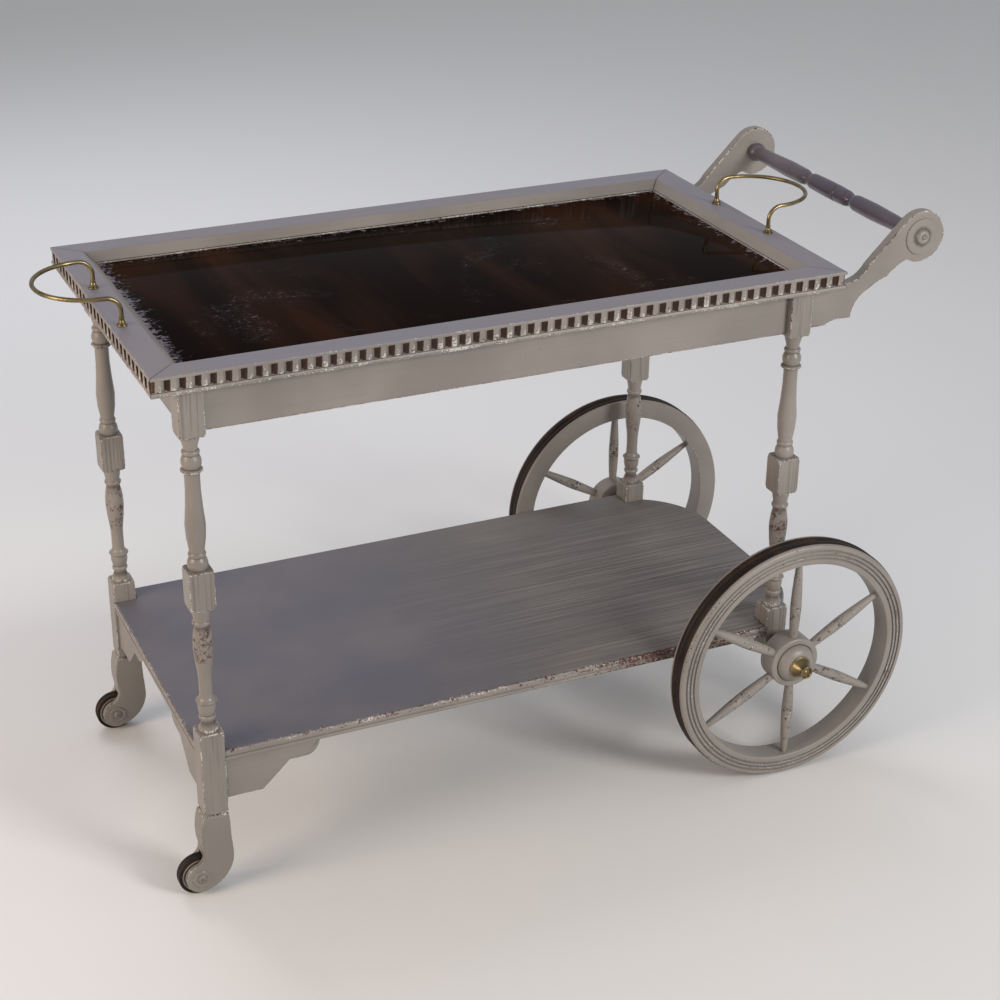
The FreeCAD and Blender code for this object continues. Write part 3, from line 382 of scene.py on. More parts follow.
@dataclass(frozen=True)
class Paint:
    """Old grey paint over wood: grain, rubbed pale edges, red-brown chips, grime and painted shade in the
    hollows, and painted tints of light and shade.

    Args:
        name: name of the material.
        grain: direction of the wood.
        figure: how far the grain shows everywhere.
        figured: bands where the grain shows in full.
        faded: where the paint takes a painted tint of light, such as the cool lavender on the tops.
        greyed: where that painted tint is painted shade instead, as on the shelf under the tray.
        chipped: bands where chips spread from the edges over the faces.
        chips: how much more the edges are chipped.
        rub: how much more the edges are rubbed.
        flaked: bands where the edges are chipped most.
        flakes: how much more they are chipped there.
        dirt: how dark the hollows are painted, as grime and as painted shade.
        dirt_edge: where that darkening begins and where it is full, as a share of the hollow.
        across: lines of grain in a metre.
        along: breaks of a line in a metre.
        relief: strength of the relief.
        depth: height of the relief, in metres.
        gloss: roughness of clean paint.
        dark: darker paint.
        light: lighter paint.
        fade: the painted tint of light.
        grey: the painted shade in its place.
        pore: dark lines of the grain.
        rubbed: paint that is rubbed pale.
        chip: bare wood in the chips.
        nick: specks in the chips.
        grime: grime and painted shade in the hollows.
        clouds: slow change between darker and lighter paint.
        specks: fine specks.
        grit: ragged outline of the rubbed edges.
        drift: longer and shorter stretches of rubbed edge.
        ragged: ragged outline of bare spots and dirt.
        patches: groups of bare spots.
        splits: cracks.
        nicks: single chips of the edges.
        cloud_edge: start and end of the step from darker to lighter paint.
        line_edge: start and end of a dark line's step, on the fibre.
        pale_edge: start and end of a pale line's step, on the fibre.
        rub_edge: start and end of the step to rubbed paint.
        bare_edge: start and end of the step to a bare spot.
        crack_wide: half the width of a crack, on its noise.
        crack_edge: start and end of the step to a cracked patch.
        chip_edge: start and end of the step to a chipped edge.
        nick_edge: start and end of the step to a speck in a chip.
    """

    name: str
    grain: Grain
    figure: float = 0.3
    figured: tuple[Band, ...] = (NEVER,)
    faded: Band = NEVER
    greyed: Band = NEVER
    chipped: tuple[Band, ...] = (NEVER,)
    chips: float = 0.0
    rub: float = 0.0
    flaked: tuple[Band, ...] = (NEVER,)
    flakes: float = 0.06
    dirt: float = 0.75
    dirt_edge: Span = (0.45, 1.1)
    across: float = 260.0
    along: float = 7.0
    relief: float = 0.6
    depth: float = 0.0006
    gloss: float = 0.42
    dark: Colour = (0.212, 0.189, 0.168)
    light: Colour = (0.272, 0.244, 0.218)
    fade: Colour = (0.222, 0.206, 0.238)
    grey: Colour = (0.150, 0.138, 0.132)
    pore: Colour = (0.085, 0.072, 0.065)
    rubbed: Colour = (0.640, 0.605, 0.565)
    chip: Colour = (0.125, 0.028, 0.016)
    nick: Colour = (0.022, 0.013, 0.009)
    grime: Colour = (0.045, 0.030, 0.022)
    clouds: Noise = Noise(6.0)
    specks: Noise = Noise(420.0, 2.0)
    grit: Noise = Noise(420.0, 3.0, 0.6)
    drift: Noise = Noise(30.0)
    ragged: Noise = Noise(240.0, 4.0, 0.65)
    patches: Noise = Noise(34.0, 5.0, 0.7, 1.0, offset=(3.7, 1.9, 5.3))
    splits: Noise = Noise(45.0, 4.0, 0.65, 1.2, stretch=(1.6, 1.6, 1.0))
    nicks: Noise = Noise(300.0, 3.0, 0.6, offset=(8.1, 2.7, 6.4))
    cloud_edge: Span = (0.32, 0.68)
    line_edge: Span = (0.52, 0.68)
    pale_edge: Span = (0.48, 0.34)
    rub_edge: Span = (1.075, 1.105)
    bare_edge: Span = (0.75, 0.77)
    crack_wide: float = 0.03
    crack_edge: Span = (0.56, 0.62)
    chip_edge: Span = (1.165, 1.195)
    nick_edge: Span = (0.45, 0.58)

    def fibres(self, brush: Brush) -> tuple[Signal, Signal]:
        """Returns the dark and the pale lines of the grain.

        Args:
            brush: the material's node tree.

        Returns:
            The two masks, dark lines first.
        """
        stretch = [self.across] * 3
        if self.grain is not Grain.ROUND:
            stretch[self.grain.value] = self.along
        fibre = brush.noise(Noise(1.0, 2.0, 0.5, 0.15, tuple(stretch)))
        shown = self.figure + (brush.overlap(self.figured) | brush.mark("grained")) * (1.0 - self.figure)
        return brush.ramp(fibre, *self.line_edge) * shown, brush.ramp(fibre, *self.pale_edge) * shown

    def rubbing(self, brush: Brush) -> Signal:
        """Returns where the edges are rubbed pale."""
        grit = brush.noise(self.grit) * 0.7 + brush.noise(self.drift) * 0.4
        return brush.ramp(brush.mark("wear") * 0.5 + grit + self.rub, *self.rub_edge)

    def chipping(self, brush: Brush) -> Signal:
        """Returns where the paint is gone: chipped edges, bare spots and cracks.

        Args:
            brush: the material's node tree.

        Returns:
            The mask of all three.
        """
        patch = brush.noise(self.patches)
        spread = brush.overlap(self.chipped)
        bare = brush.ramp(patch * 0.45 + brush.noise(self.ragged) * 0.7 + spread * 0.1, *self.bare_edge)
        cracked = brush.ramp(patch * 0.6 + spread * 0.28, *self.crack_edge)
        cracks = brush.cracks(brush.noise(self.splits), self.crack_wide) * cracked
        edge = brush.mark("wear") * 0.5 + brush.noise(self.nicks) * 0.8 + patch * 0.4
        edge = edge + brush.overlap(self.flaked) * self.flakes
        return brush.ramp(edge + self.chips, *self.chip_edge) | bare | cracks

    def make(self) -> bpy.types.Material:
        """Returns the material, its coats laid one over the other."""
        brush = Brush(self.name)
        cloud = brush.ramp(brush.noise(self.clouds), *self.cloud_edge)
        speck = brush.noise(self.specks)
        lines, pale = self.fibres(brush)
        rubbed = self.rubbing(brush)
        chips = self.chipping(brush)
        # Hollows, dentil pits and mitre joints are darkened: painted shade in creases and pits, with grime,
        # and dark joints.
        dirt = brush.ramp(brush.mark("hollow") + brush.noise(self.ragged) * 0.5, *self.dirt_edge)
        colour = brush.mix(cloud, self.dark, self.light)
        # The first coat is painted light: a cool tint on the tops, violet on the push bar, and painted shade
        # on the shelf under the tray.
        coats = (
            (brush.band(self.faded) * (1.0 - cloud * 0.24),
             brush.mix(brush.band(self.greyed), self.fade, self.grey)),
            (pale * 0.5, self.light),
            (lines * 0.5, self.pore),
            (dirt * self.dirt, self.grime),
            (rubbed * 0.8, self.rubbed),
            (chips * 0.92, brush.mix(brush.ramp(speck, *self.nick_edge), self.chip, self.nick)),
        )
        for share, coat in coats:
            colour = brush.mix(share, colour, coat)
        gloss = self.gloss + cloud * 0.12 + rubbed * 0.12 + chips * 0.2 + lines * 0.1
        height = lines * -1.0 + pale * 0.4 + speck * 0.25 - chips * 0.6 + cloud * 0.2
        return brush.finish({"Base Color": colour, "Roughness": gloss,
                             "Normal": brush.relief(height, self.depth, self.relief)})


@dataclass(frozen=True)
class SmokedGlass:
    """Dark brown glass under dusty smudges.

    Args:
        name: name of the material.
        deep: the darker glass.
        warm: the lighter glass, in streaks.
        dust: the smudges.
        left: the glass's left edge, in metres.
        right: its right edge.
        back: its back edge.
        left_lip: start and end of the step to the dust at the left edge.
        right_lip: the same at the right edge.
        back_lip: the same at the back edge.
        streaks: long streaks in the glass.
        clouds: where the smudges lie.
        scuffs: web of scuffs in the smudges.
        grains: fine dust.
        teeth: ragged outline of the dust at the edges.
    """

    name: str = "smoked_glass"
    deep: Colour = (0.006, 0.0028, 0.0018)
    warm: Colour = (0.026, 0.0095, 0.0042)
    dust: Colour = (0.300, 0.270, 0.310)
    left: float = -0.4546
    right: float = 0.3674
    back: float = 0.195
    left_lip: Span = (0.070, 0.084)
    right_lip: Span = (0.076, 0.090)
    back_lip: Span = (0.079, 0.090)
    streaks: Noise = Noise(1.0, 3.0, 0.5, 0.6, (9.0, 1.6, 1.0))
    clouds: Noise = Noise(5.0, 4.0, 0.6, 0.8)
    scuffs: Noise = Noise(60.0, 6.0, 0.74, 0.5, (1.0, 1.7, 1.0))
    grains: Noise = Noise(190.0, 5.0, 0.75)
    teeth: Noise = Noise(1.0, 6.0, 0.8, 0.4, (70.0, 110.0, 1.0))

    def smudges(self, brush: Brush) -> Signal:
        """Returns where dust lies: patches on the glass and a ragged lip at three edges.

        Args:
            brush: the material's node tree.

        Returns:
            The mask of the dust.
        """
        scuff = brush.noise(self.scuffs)
        grain = brush.noise(self.grains)
        teeth = brush.noise(self.teeth) * 0.1 + grain * 0.06
        lip = brush.ramp(teeth - (brush.axis("X") - self.left), *self.left_lip)
        lip = lip | brush.ramp(teeth - (self.right - brush.axis("X")), *self.right_lip)
        lip = lip | brush.ramp(teeth - (self.back - brush.axis("Y")), *self.back_lip)
        web = brush.cracks(scuff, 0.02) * 0.15 + brush.ramp(grain * 0.5 + scuff * 0.5, 0.54, 0.62) * 0.5
        patches = brush.ramp(brush.noise(self.clouds), 0.55, 0.66) * web
        return patches * 0.75 | lip

    def make(self) -> bpy.types.Material:
        """Returns the material."""
        brush = Brush(self.name)
        smudge = self.smudges(brush)
        colour = brush.mix(brush.ramp(brush.noise(self.streaks), 0.42, 0.7), self.deep, self.warm)
        colour = brush.mix(smudge * 0.8, colour, self.dust)
        return brush.finish({"Base Color": colour, "Roughness": 0.5, "Specular IOR Level": 0.0,
                             "Coat Weight": 0.11 - smudge * 0.08, "Coat Roughness": 0.06})


@dataclass(frozen=True)
class Metal:
    """A metal with a tarnish in patches and fine scratches.

    Args:
        name: name of the material.
        bright: the clean metal.
        tarnish: the tarnish.
        rough: roughness of the clean metal.
        clouds: patches of tarnish.
        specks: fine scratches.
    """

    name: str
    bright: Colour
    tarnish: Colour
    rough: float = 0.28
    clouds: Noise = Noise(60.0, 4.0, 0.6)
    specks: Noise = Noise(700.0, 2.0)

    def make(self) -> bpy.types.Material:
        """Returns the material."""
        brush = Brush(self.name)
        cloud = brush.ramp(brush.noise(self.clouds), 0.4, 0.66)
        speck = brush.noise(self.specks)
        hollow = brush.ramp(brush.mark("hollow"), 0.1, 0.9)
        colour = brush.mix(cloud * 0.6 | hollow * 0.9, self.bright, self.tarnish)
        rough = self.rough + cloud * 0.16 + speck * 0.06
        return brush.finish({"Base Color": colour, "Roughness": rough, "Metallic": 1.0,
                             "Normal": brush.relief(speck, 0.0002, 0.2)})


@dataclass(frozen=True)
class Rubber:
    """Worn tyre rubber with brown dust.

    Args:
        name: name of the material.
        black: the rubber.
        dust: the dust.
        clouds: patches of dust.
        specks: fine roughness.
    """

    name: str = "tyre_rubber"
    black: Colour = (0.013, 0.008, 0.006)
    dust: Colour = (0.055, 0.029, 0.017)
    clouds: Noise = Noise(30.0, 4.0, 0.6)
    specks: Noise = Noise(900.0, 2.0)

    def make(self) -> bpy.types.Material:
        """Returns the material."""
        brush = Brush(self.name)
        cloud = brush.ramp(brush.noise(self.clouds), 0.42, 0.7)
        colour = brush.mix(cloud * 0.6 | brush.mark("hollow") * 0.7, self.black, self.dust)
        return brush.finish({"Base Color": colour, "Roughness": 0.5 + cloud * 0.2, "Specular IOR Level": 0.25,
                             "Normal": brush.relief(brush.noise(self.specks), 0.0004, 0.3)})


@dataclass(frozen=True)
class BareBoard:
    """Unpainted board under the tray.

    Args:
        name: name of the material.
        pale: the wood.
        brown: its darker grain.
        fibres: lines of the grain, along x.
        clouds: slow change over the board.
    """

    name: str = "bare_board"
    pale: Colour = (0.30, 0.18, 0.10)
    brown: Colour = (0.16, 0.085, 0.042)
    fibres: Noise = Noise(1.0, 4.0, 0.6, 0.3, (6.0, 150.0, 150.0))
    clouds: Noise = Noise(5.0)

    def make(self) -> bpy.types.Material:
        """Returns the material."""
        brush = Brush(self.name)
        fibre = brush.noise(self.fibres)
        grain = brush.ramp(fibre * 0.7 + brush.noise(self.clouds) * 0.3, 0.38, 0.64)
        return brush.finish({"Base Color": brush.mix(grain, self.pale, self.brown),
                             "Roughness": 0.6 + fibre * 0.2, "Normal": brush.relief(fibre, 0.0005, 0.4)})


@dataclass(frozen=True)
class Finishes:
    """Every material of the cart."""

    paint: dict[Coat, bpy.types.Material]
    glass: bpy.types.Material
    brass: bpy.types.Material
    tyre: bpy.types.Material
    steel: bpy.types.Material
    bronze: bpy.types.Material
    board: bpy.types.Material

    @classmethod
    def mixed(cls) -> "Finishes":
        """Returns all finishes, made new."""
        # The tops of the tray rails and of the shelf take a painted tint of cool light from above.
        tray_top = Band("Z", 0.7284, 0.7297)
        shelf_top = Band("Z", 0.2115, 0.2128)
        vases = (Band("Z", 0.29, 0.325), Band("Z", 0.41, 0.385))
        # On the rails the hollows take brown painted shadow in the dentil pits, and dark mitre joints.
        rail = {"figure": 0.12, "faded": tray_top, "dirt": 1.0, "dirt_edge": (0.6, 0.8), "chips": -0.06,
                "rub": -0.025, "grime": (0.046, 0.018, 0.009)}
        settings = {
            Coat.LONG: {"grain": Grain.ALONG_X, "figure": 0.1, "chips": 0.02, "chip": (0.060, 0.026, 0.017)},
            Coat.CROSS: {"grain": Grain.ALONG_Y, "figure": 0.1},
            Coat.RAIL_LONG: {"grain": Grain.ALONG_X, **rail},
            Coat.RAIL_CROSS: {"grain": Grain.ALONG_Y, **rail},
            # The shelf's top: lavender painted sheen at the left, darker painted shade under the tray at the
            # right.
            Coat.SHELF: {"grain": Grain.ALONG_X, "figure": 0.06, "across": 330.0, "along": 5.0,
                         "figured": (Band("X", -0.2, 0.25), Band("Y", 0.28, 0.0)),
                         "faded": shelf_top, "fade": (0.118, 0.116, 0.148),
                         "greyed": Band("X", -0.25, 0.15), "grey": (0.132, 0.123, 0.120),
                         "flaked": (Band("X", 0.0, 0.18), Band("X", 0.36, 0.24)), "flakes": 0.15,
                         "rub": -0.05},
            Coat.POST: {"grain": Grain.ALONG_Z, "figure": 0.0, "chipped": vases, "relief": 1.0, "gloss": 0.3,
                        "across": 380.0, "dirt_edge": (0.35, 0.8)},
            Coat.HORN: {"grain": Grain.ALONG_Z, "figure": 0.08},
            Coat.TURNED: {"grain": Grain.ROUND, "figure": 0.1, "gloss": 0.34, "rub": -0.075, "chips": -0.05,
                          "dirt_edge": (0.3, 0.75)},
            Coat.SPOKE: {"grain": Grain.ROUND, "figure": 0.2, "rub": -0.055, "chips": 0.01,
                         "chipped": (MOSTLY,), "chip": (0.035, 0.016, 0.011)},
            # The whole push bar takes a dark violet painted tint of light.
            Coat.BAR: {"grain": Grain.ALONG_Y, "figure": 0.1, "gloss": 0.22, "rub": -0.03, "chips": 0.03,
                       "faded": ANYWHERE, "fade": (0.080, 0.065, 0.087),
                       "chipped": (PARTLY,), "chip": (0.300, 0.130, 0.060)},
        }
        paint = {coat: Paint("grey_paint_" + coat.value, **setting).make()
                 for coat, setting in settings.items()}
        return cls(paint, SmokedGlass().make(),
                   Metal("aged_brass", (0.31, 0.245, 0.128), (0.085, 0.060, 0.032), rough=0.26).make(),
                   Rubber().make(),
                   Metal("plain_steel", (0.46, 0.46, 0.47), (0.20, 0.17, 0.15), rough=0.35).make(),
                   Metal("bearing_bronze", (0.50, 0.33, 0.16), (0.20, 0.11, 0.05), rough=0.35).make(),
                   BareBoard().make())


class Blank:
    """A piece of stock, worked in millimetres with mesh operators."""

    guard_ratio = 2.5
    corner_angle = 28.0
    cut_room = 1e-4
    saw_fine = 9.0
    wear_start, wear_gain = 0.03, 18.0
    dirt_start, dirt_gain = 0.02, 9.0
    marks = ("wear", "hollow", "soil", "worn", "grained")

    def __init__(self) -> None:
        """Starts with nothing but the layers for its marks."""
        self.bm = bmesh.new()
        for name in self.marks:
            self.layer(name)

    def line(self, tip: Vert, end: Point, plane: Plane) -> Vert:
        """Draws a straight step.

        Args:
            tip: where it starts.
            end: where it ends.
            plane: the plane of the outline.

        Returns:
            The vertex where it ends.
        """
        made = bmesh.ops.extrude_vert_indiv(self.bm, verts=[tip])["verts"][0]
        first, second = plane.value
        made.co[first], made.co[second] = end
        return made

    def curve(self, tip: Vert, bow: Bow, plane: Plane, fine: float) -> Vert:
        """Draws a circular step by spinning a vertex.

        Args:
            tip: where it starts.
            bow: what it passes and where it ends.
            plane: the plane of the outline.
            fine: the turn of one segment, in degrees.

        Returns:
            The vertex where it ends.
        """
        first, second = plane.value
        start = Vector((tip.co[first], tip.co[second]))
        via = Vector(bow.via) - start
        end = Vector(bow.end) - start
        span = 2.0 * (via.x * end.y - via.y * end.x)
        centre = start + Vector((end.y * via.length_squared - via.y * end.length_squared,
                                 via.x * end.length_squared - end.x * via.length_squared)) / span
        angles = [math.atan2(*reversed(Vector(p) - centre)) for p in (start, bow.via, bow.end)]
        sweep = (angles[2] - angles[0]) % FULL_TURN
        if (angles[1] - angles[0]) % FULL_TURN > sweep:
            sweep -= FULL_TURN
        steps = max(2, math.ceil(abs(math.degrees(sweep)) / fine))
        middle = Vector((0.0, 0.0, 0.0))
        middle[first], middle[second] = centre
        axes = [Vector((1, 0, 0)), Vector((0, 1, 0)), Vector((0, 0, 1))]
        spun = bmesh.ops.spin(self.bm, geom=[tip], cent=middle, axis=axes[first].cross(axes[second]),
                              dvec=(0, 0, 0), angle=sweep, steps=steps)["geom_last"]
        return next(v for v in spun if isinstance(v, Vert))

    def draw(self, steps: Sequence[Step], plane: Plane, closed: bool, fine: float = 15.0) -> None:
        """Draws an outline.

        Args:
            steps: its points and curves, the first one a point.
            plane: where it lies.
            closed: whether it runs back to its start.
            fine: the turn of one segment of a curve, in degrees.
        """
        first, second = plane.value
        start = self.bm.verts.new((0.0, 0.0, 0.0))
        start.co[first], start.co[second] = steps[0]
        tip = start
        for step in steps[1:]:
            if isinstance(step, Bow):
                tip = self.curve(tip, step, plane, fine)
            else:
                tip = self.line(tip, step, plane)
        if closed and (tip.co - start.co).length > MERGE:
            self.bm.edges.new((tip, start))
        bmesh.ops.remove_doubles(self.bm, verts=self.bm.verts[:], dist=MERGE)

    def extend(self, loop: Sequence[Edge]) -> tuple[list[Vert], list[Edge]]:
        """Extrudes a loop of edges.

        Args:
            loop: the edges.

        Returns:
            The new vertices, still in the old place, and the edges between them.
        """
        made = bmesh.ops.extrude_edge_only(self.bm, edges=loop)["geom"]
        verts = [v for v in made if isinstance(v, Vert)]
        new = set(verts)
        return verts, [e for e in made if isinstance(e, Edge) and set(e.verts) <= new]

    def pull(self, loop: Sequence[Edge], way: Place) -> list[Edge]:
        """Pulls a loop of edges straight on.

        Args:
            loop: the edges.
            way: how far they are pulled.

        Returns:
            The new loop.
        """
        verts, ahead = self.extend(loop)
        bmesh.ops.translate(self.bm, verts=verts, vec=way)
        return ahead

    def cut(self, place: Place, normal: Place, clear: bool = False) -> list[Edge]:
        """Cuts the piece by a plane.

        Args:
            place: a point of the plane.
            normal: its normal.
            clear: whether what lies beyond the plane goes.

        Returns:
            The edges of the cut.
        """
        whole = self.bm.verts[:] + self.bm.edges[:] + self.bm.faces[:]
        made = bmesh.ops.bisect_plane(self.bm, geom=whole, dist=self.cut_room, plane_co=place,
                                      plane_no=normal, clear_outer=clear)["geom_cut"]
        return [e for e in made if isinstance(e, Edge)]

    def trim(self, place: Place, normal: Place) -> None:
        """Takes away what lies beyond a plane and closes the piece there."""
        bmesh.ops.edgeloop_fill(self.bm, edges=self.cut(place, normal, True))

    def bevel(self, geom: Sequence[object], offset: float, segments: int = 2, affect: str = "EDGES") -> None:
        """Bevels edges or corners.

        Args:
            geom: the edges, or the vertices of the corners.
            offset: width of the bevel.
            segments: its faces across.
            affect: EDGES or VERTICES.
        """
        bmesh.ops.bevel(self.bm, geom=geom, offset=offset, offset_type="OFFSET", segments=segments,
                        profile=0.5, affect=affect, clamp_overlap=True, material=-1)

    def close(self) -> None:
        """Merges doubles and turns the faces outwards."""
        bmesh.ops.remove_doubles(self.bm, verts=self.bm.verts[:], dist=MERGE)
        bmesh.ops.recalc_face_normals(self.bm, faces=self.bm.faces[:])

    @classmethod
    def turned(cls, steps: Sequence[Step], rounds: int, soften: float = 0.35, ring: bool = False,
               fine: float = 15.0) -> "Blank":
        """Turns an outline of radius and height about the z axis.

        Args:
            steps: points and curves of radius and height.
            rounds: segments of a full turn.
            soften: rounding of the outline's corners.
            ring: whether the outline is closed, clear of the axis.
            fine: the turn of one segment of a curve, in degrees.

        Returns:
            The turned piece.
        """
        blank = cls()
        blank.draw(steps, Plane.XZ, ring, fine)
        corners = []
        for vert in blank.bm.verts:
            if len(vert.link_edges) == 2 and vert.co.x > MERGE:
                sides = [edge.other_vert(vert).co - vert.co for edge in vert.link_edges]
                if sides[0].angle(-sides[1]) > math.radians(cls.corner_angle):
                    corners.append(vert)
        if corners and soften:
            blank.bevel(corners, soften, affect="VERTICES")
        bmesh.ops.spin(blank.bm, geom=blank.bm.verts[:] + blank.bm.edges[:], cent=(0, 0, 0), axis=(0, 0, 1),
                       dvec=(0, 0, 0), angle=FULL_TURN, steps=rounds, use_merge=True)
        blank.close()
        return blank

    @classmethod
    def sawn(cls, steps: Sequence[Step], thick: float, edge: float = 1.0, margin: float = 0.0) -> "Blank":
        """Saws a board to an outline of x and z.

        Args:
            steps: points and curves of the outline.
            thick: thickness along y, about y = 0.
            edge: rounding of its edges.
            margin: how far a line on its sides lies from the edges, to keep the wear there.

        Returns:
            The sawn piece.
        """
        blank = cls()
        blank.draw(steps, Plane.XZ, True, cls.saw_fine)
        face = bmesh.ops.contextual_create(blank.bm, geom=blank.bm.edges[:])["faces"]
        made = bmesh.ops.extrude_face_region(blank.bm, geom=face)["geom"]
        moved = [v for v in made if isinstance(v, Vert)]
        bmesh.ops.translate(blank.bm, verts=moved, vec=(0, thick, 0))
        bmesh.ops.translate(blank.bm, verts=blank.bm.verts[:], vec=(0, -thick / 2, 0))
        blank.close()
        for level in (margin - thick / 2, thick / 2 - margin) if margin else ():
            blank.cut((0, level, 0), (0, 1, 0))
        if edge:
            blank.ease(edge)
        return blank

    @classmethod
    def board(cls, low: Place, high: Place, edge: float = 1.0) -> "Blank":
        """Makes a square board with rounded edges.

        Args:
            low: its corner with the lowest coordinates.
            high: the opposite corner.
            edge: rounding of its edges.

        Returns:
            The board.
        """
        blank = cls()
        size = Vector(high) - Vector(low)
        middle = (Vector(high) + Vector(low)) / 2.0
        bmesh.ops.create_cube(blank.bm, size=1.0,
                              matrix=Matrix.Translation(middle) @ Matrix.Diagonal((*size, 1.0)))
        if edge:
            blank.ease(edge)
        return blank

    def ease(self, offset: float, segments: int = 2, sharp: float = 30.0) -> None:
        """Rounds every edge sharper than an angle.

        Args:
            offset: width of the rounding.
            segments: its faces across.
            sharp: the angle, in degrees.
        """
        edges = [e for e in self.bm.edges if e.is_manifold and e.calc_face_angle() > math.radians(sharp)]
        self.bevel(edges, offset, segments)

    def guard(self, margin: float) -> None:
        """Lays a line inside each broad face, which keeps the wear at its edges.

        Args:
            margin: how far the line lies from the edges.
        """
        broad = []
        for face in self.bm.faces:
            longest = max(edge.calc_length() for edge in face.edges)
            if face.calc_area() / longest > self.guard_ratio * margin:
                broad.append(face)
        bmesh.ops.inset_individual(self.bm, faces=broad, thickness=margin, depth=0.0, use_even_offset=True)

    def move(self, matrix: Matrix) -> "Blank":
        """Moves the piece, and turns its faces back outwards after a mirror.

        Args:
            matrix: the move.

        Returns:
            The piece itself.
        """
        bmesh.ops.transform(self.bm, matrix=matrix, verts=self.bm.verts[:])
        if matrix.determinant() < 0.0:
            bmesh.ops.reverse_faces(self.bm, faces=self.bm.faces[:])
        return self

    def copy(self) -> "Blank":
        """Returns a second piece of the same shape."""
        twin = Blank()
        twin.bm.free()
        twin.bm = self.bm.copy()
        return twin

    def join(self, other: "Blank") -> "Blank":
        """Takes another piece into this one.

        Args:
            other: a piece that is used up.

        Returns:
            The piece itself.
        """
        mesh = bpy.data.meshes.new("joined")
        other.bm.to_mesh(mesh)
        other.bm.free()
        self.bm.from_mesh(mesh)
        bpy.data.meshes.remove(mesh)
        return self

    def loose(self, name: str) -> bpy.types.Object:
        """Makes a short-lived object of this shape.

        Args:
            name: its name.

        Returns:
            The object.
        """
        mesh = bpy.data.meshes.new(name)
        self.bm.to_mesh(mesh)
        made = bpy.data.objects.new(name, mesh)
        bpy.context.scene.collection.objects.link(made)
        return made

    def carve(self, tool: "Blank") -> None:
        """Cuts the shape of a tool out of the piece.

        Args:
            tool: a closed piece, in its place.
        """
        stock = self.loose("stock")
        knife = tool.loose("knife")
        cut = stock.modifiers.new("cut", "BOOLEAN")
        cut.operation = "DIFFERENCE"
        cut.solver = "EXACT"
        cut.object = knife
        graph = bpy.context.evaluated_depsgraph_get()
        mesh = bpy.data.meshes.new_from_object(stock.evaluated_get(graph))
        self.bm.clear()
        self.bm.from_mesh(mesh)
        for made in (stock, knife):
            spent = made.data
            bpy.data.objects.remove(made)
            bpy.data.meshes.remove(spent)
        bpy.data.meshes.remove(mesh)
        self.close()

    def layer(self, name: str) -> bmesh.types.BMLayerItem:
        """Returns a layer of marks on the vertices, made when it is missing."""
        layers = self.bm.verts.layers.float
        return layers.get(name) or layers.new(name)

    def tag(self, name: str, verts: Sequence[Vert], value: float) -> None:
        """Gives vertices a mark.

        Args:
            name: name of the mark.
            verts: the vertices.
            value: how strong it is.
        """
        layer = self.layer(name)
        for vert in verts:
            vert[layer] = value

    def mark_edges(self) -> None:
        """Marks worn convex edges and the hollows, which the paint darkens as grime and painted shade, on the
        vertices.
        """
        self.bm.normal_update()
        wear, hollow, soil, worn = (self.layer(name) for name in ("wear", "hollow", "soil", "worn"))
        for vert in self.bm.verts:
            bend = 0.0
            for edge in vert.link_edges:
                bend += vert.normal.dot((vert.co - edge.other_vert(vert).co).normalized())
            bend /= max(1, len(vert.link_edges))
            rubbed = min(1.0, (bend - self.wear_start) * self.wear_gain)
            # soil marks painted shadow in the dentil pits and dark mitre seams; negative values spare a
            # vertex from wear and painted shade.
            vert[wear] = max(vert[worn], rubbed) * (1.0 - abs(vert[soil]))
            clean = 1.0 + min(0.0, vert[soil])
            concave = (-bend - self.dirt_start) * self.dirt_gain * clean
            vert[hollow] = min(1.0, max(0.0, vert[soil], concave))

    def deliver(self, name: str, material: bpy.types.Material, body: str, slot: str,
                nodes: Sequence[str], smooth: float = 38.0) -> bpy.types.Object:
        """Makes the finished object in metres.

        Args:
            name: name of the piece.
            material: its finish.
            body: the moving body that carries it.
            slot: the record's material slot; not used.
            nodes: the construction solids that it stands for.
            smooth: edges under this angle are shaded smooth, in degrees.

        Returns:
            The object.
        """
        self.mark_edges()
        bmesh.ops.scale(self.bm, vec=(MM, MM, MM), verts=self.bm.verts[:])
        open_edges = sum(1 for edge in self.bm.edges if not edge.is_manifold)
        mesh = bpy.data.meshes.new(name)
        self.bm.to_mesh(mesh)
        self.bm.free()
        mesh.shade_smooth()
        mesh.set_sharp_from_angle(angle=math.radians(smooth))
        mesh.materials.append(material)
        made = bpy.data.objects.new(name, mesh)
        bpy.context.scene.collection.objects.link(made)
        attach(made, body)
        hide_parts(*nodes)
        LOG.info("%s: %d faces, %d open edges", name, len(mesh.polygons), open_edges)
        return made


ALONG_Y = Matrix.Rotation(math.radians(-90.0), 4, "X")
TO_FRONT = Matrix.Rotation(math.radians(90.0), 4, "X")


def shift(x: float, y: float, z: float) -> Matrix:
    """Returns a move in millimetres."""
    return Matrix.Translation((x, y, z))


def turn_z(degrees: float) -> Matrix:
    """Returns a turn about the z axis."""
    return Matrix.Rotation(math.radians(degrees), 4, "Z")


def facing(side: Side) -> Matrix:
    """Returns the turn that points a front piece to a side."""
    return turn_z(0.0 if side is Side.FRONT else 180.0)


def between(start: float, end: float, share: float) -> float:
    """Returns the level at a share of the way from one level to another."""
    return start - share * (start - end)


@dataclass(frozen=True)
class Layout:
    """Places that several pieces share, in millimetres."""

    tray_x: float = -43.6
    left_x: float = -453.1
    right_x: float = 360.9
    side_y: float = 212.5
    half_block: float = 15.75
    deck: float = 704.5
    axle_z: float = 180.5
    wheel_y: float = 266.0
    bar_x: float = 543.4
    bar_z: float = 753.0


LAYOUT = Layout()


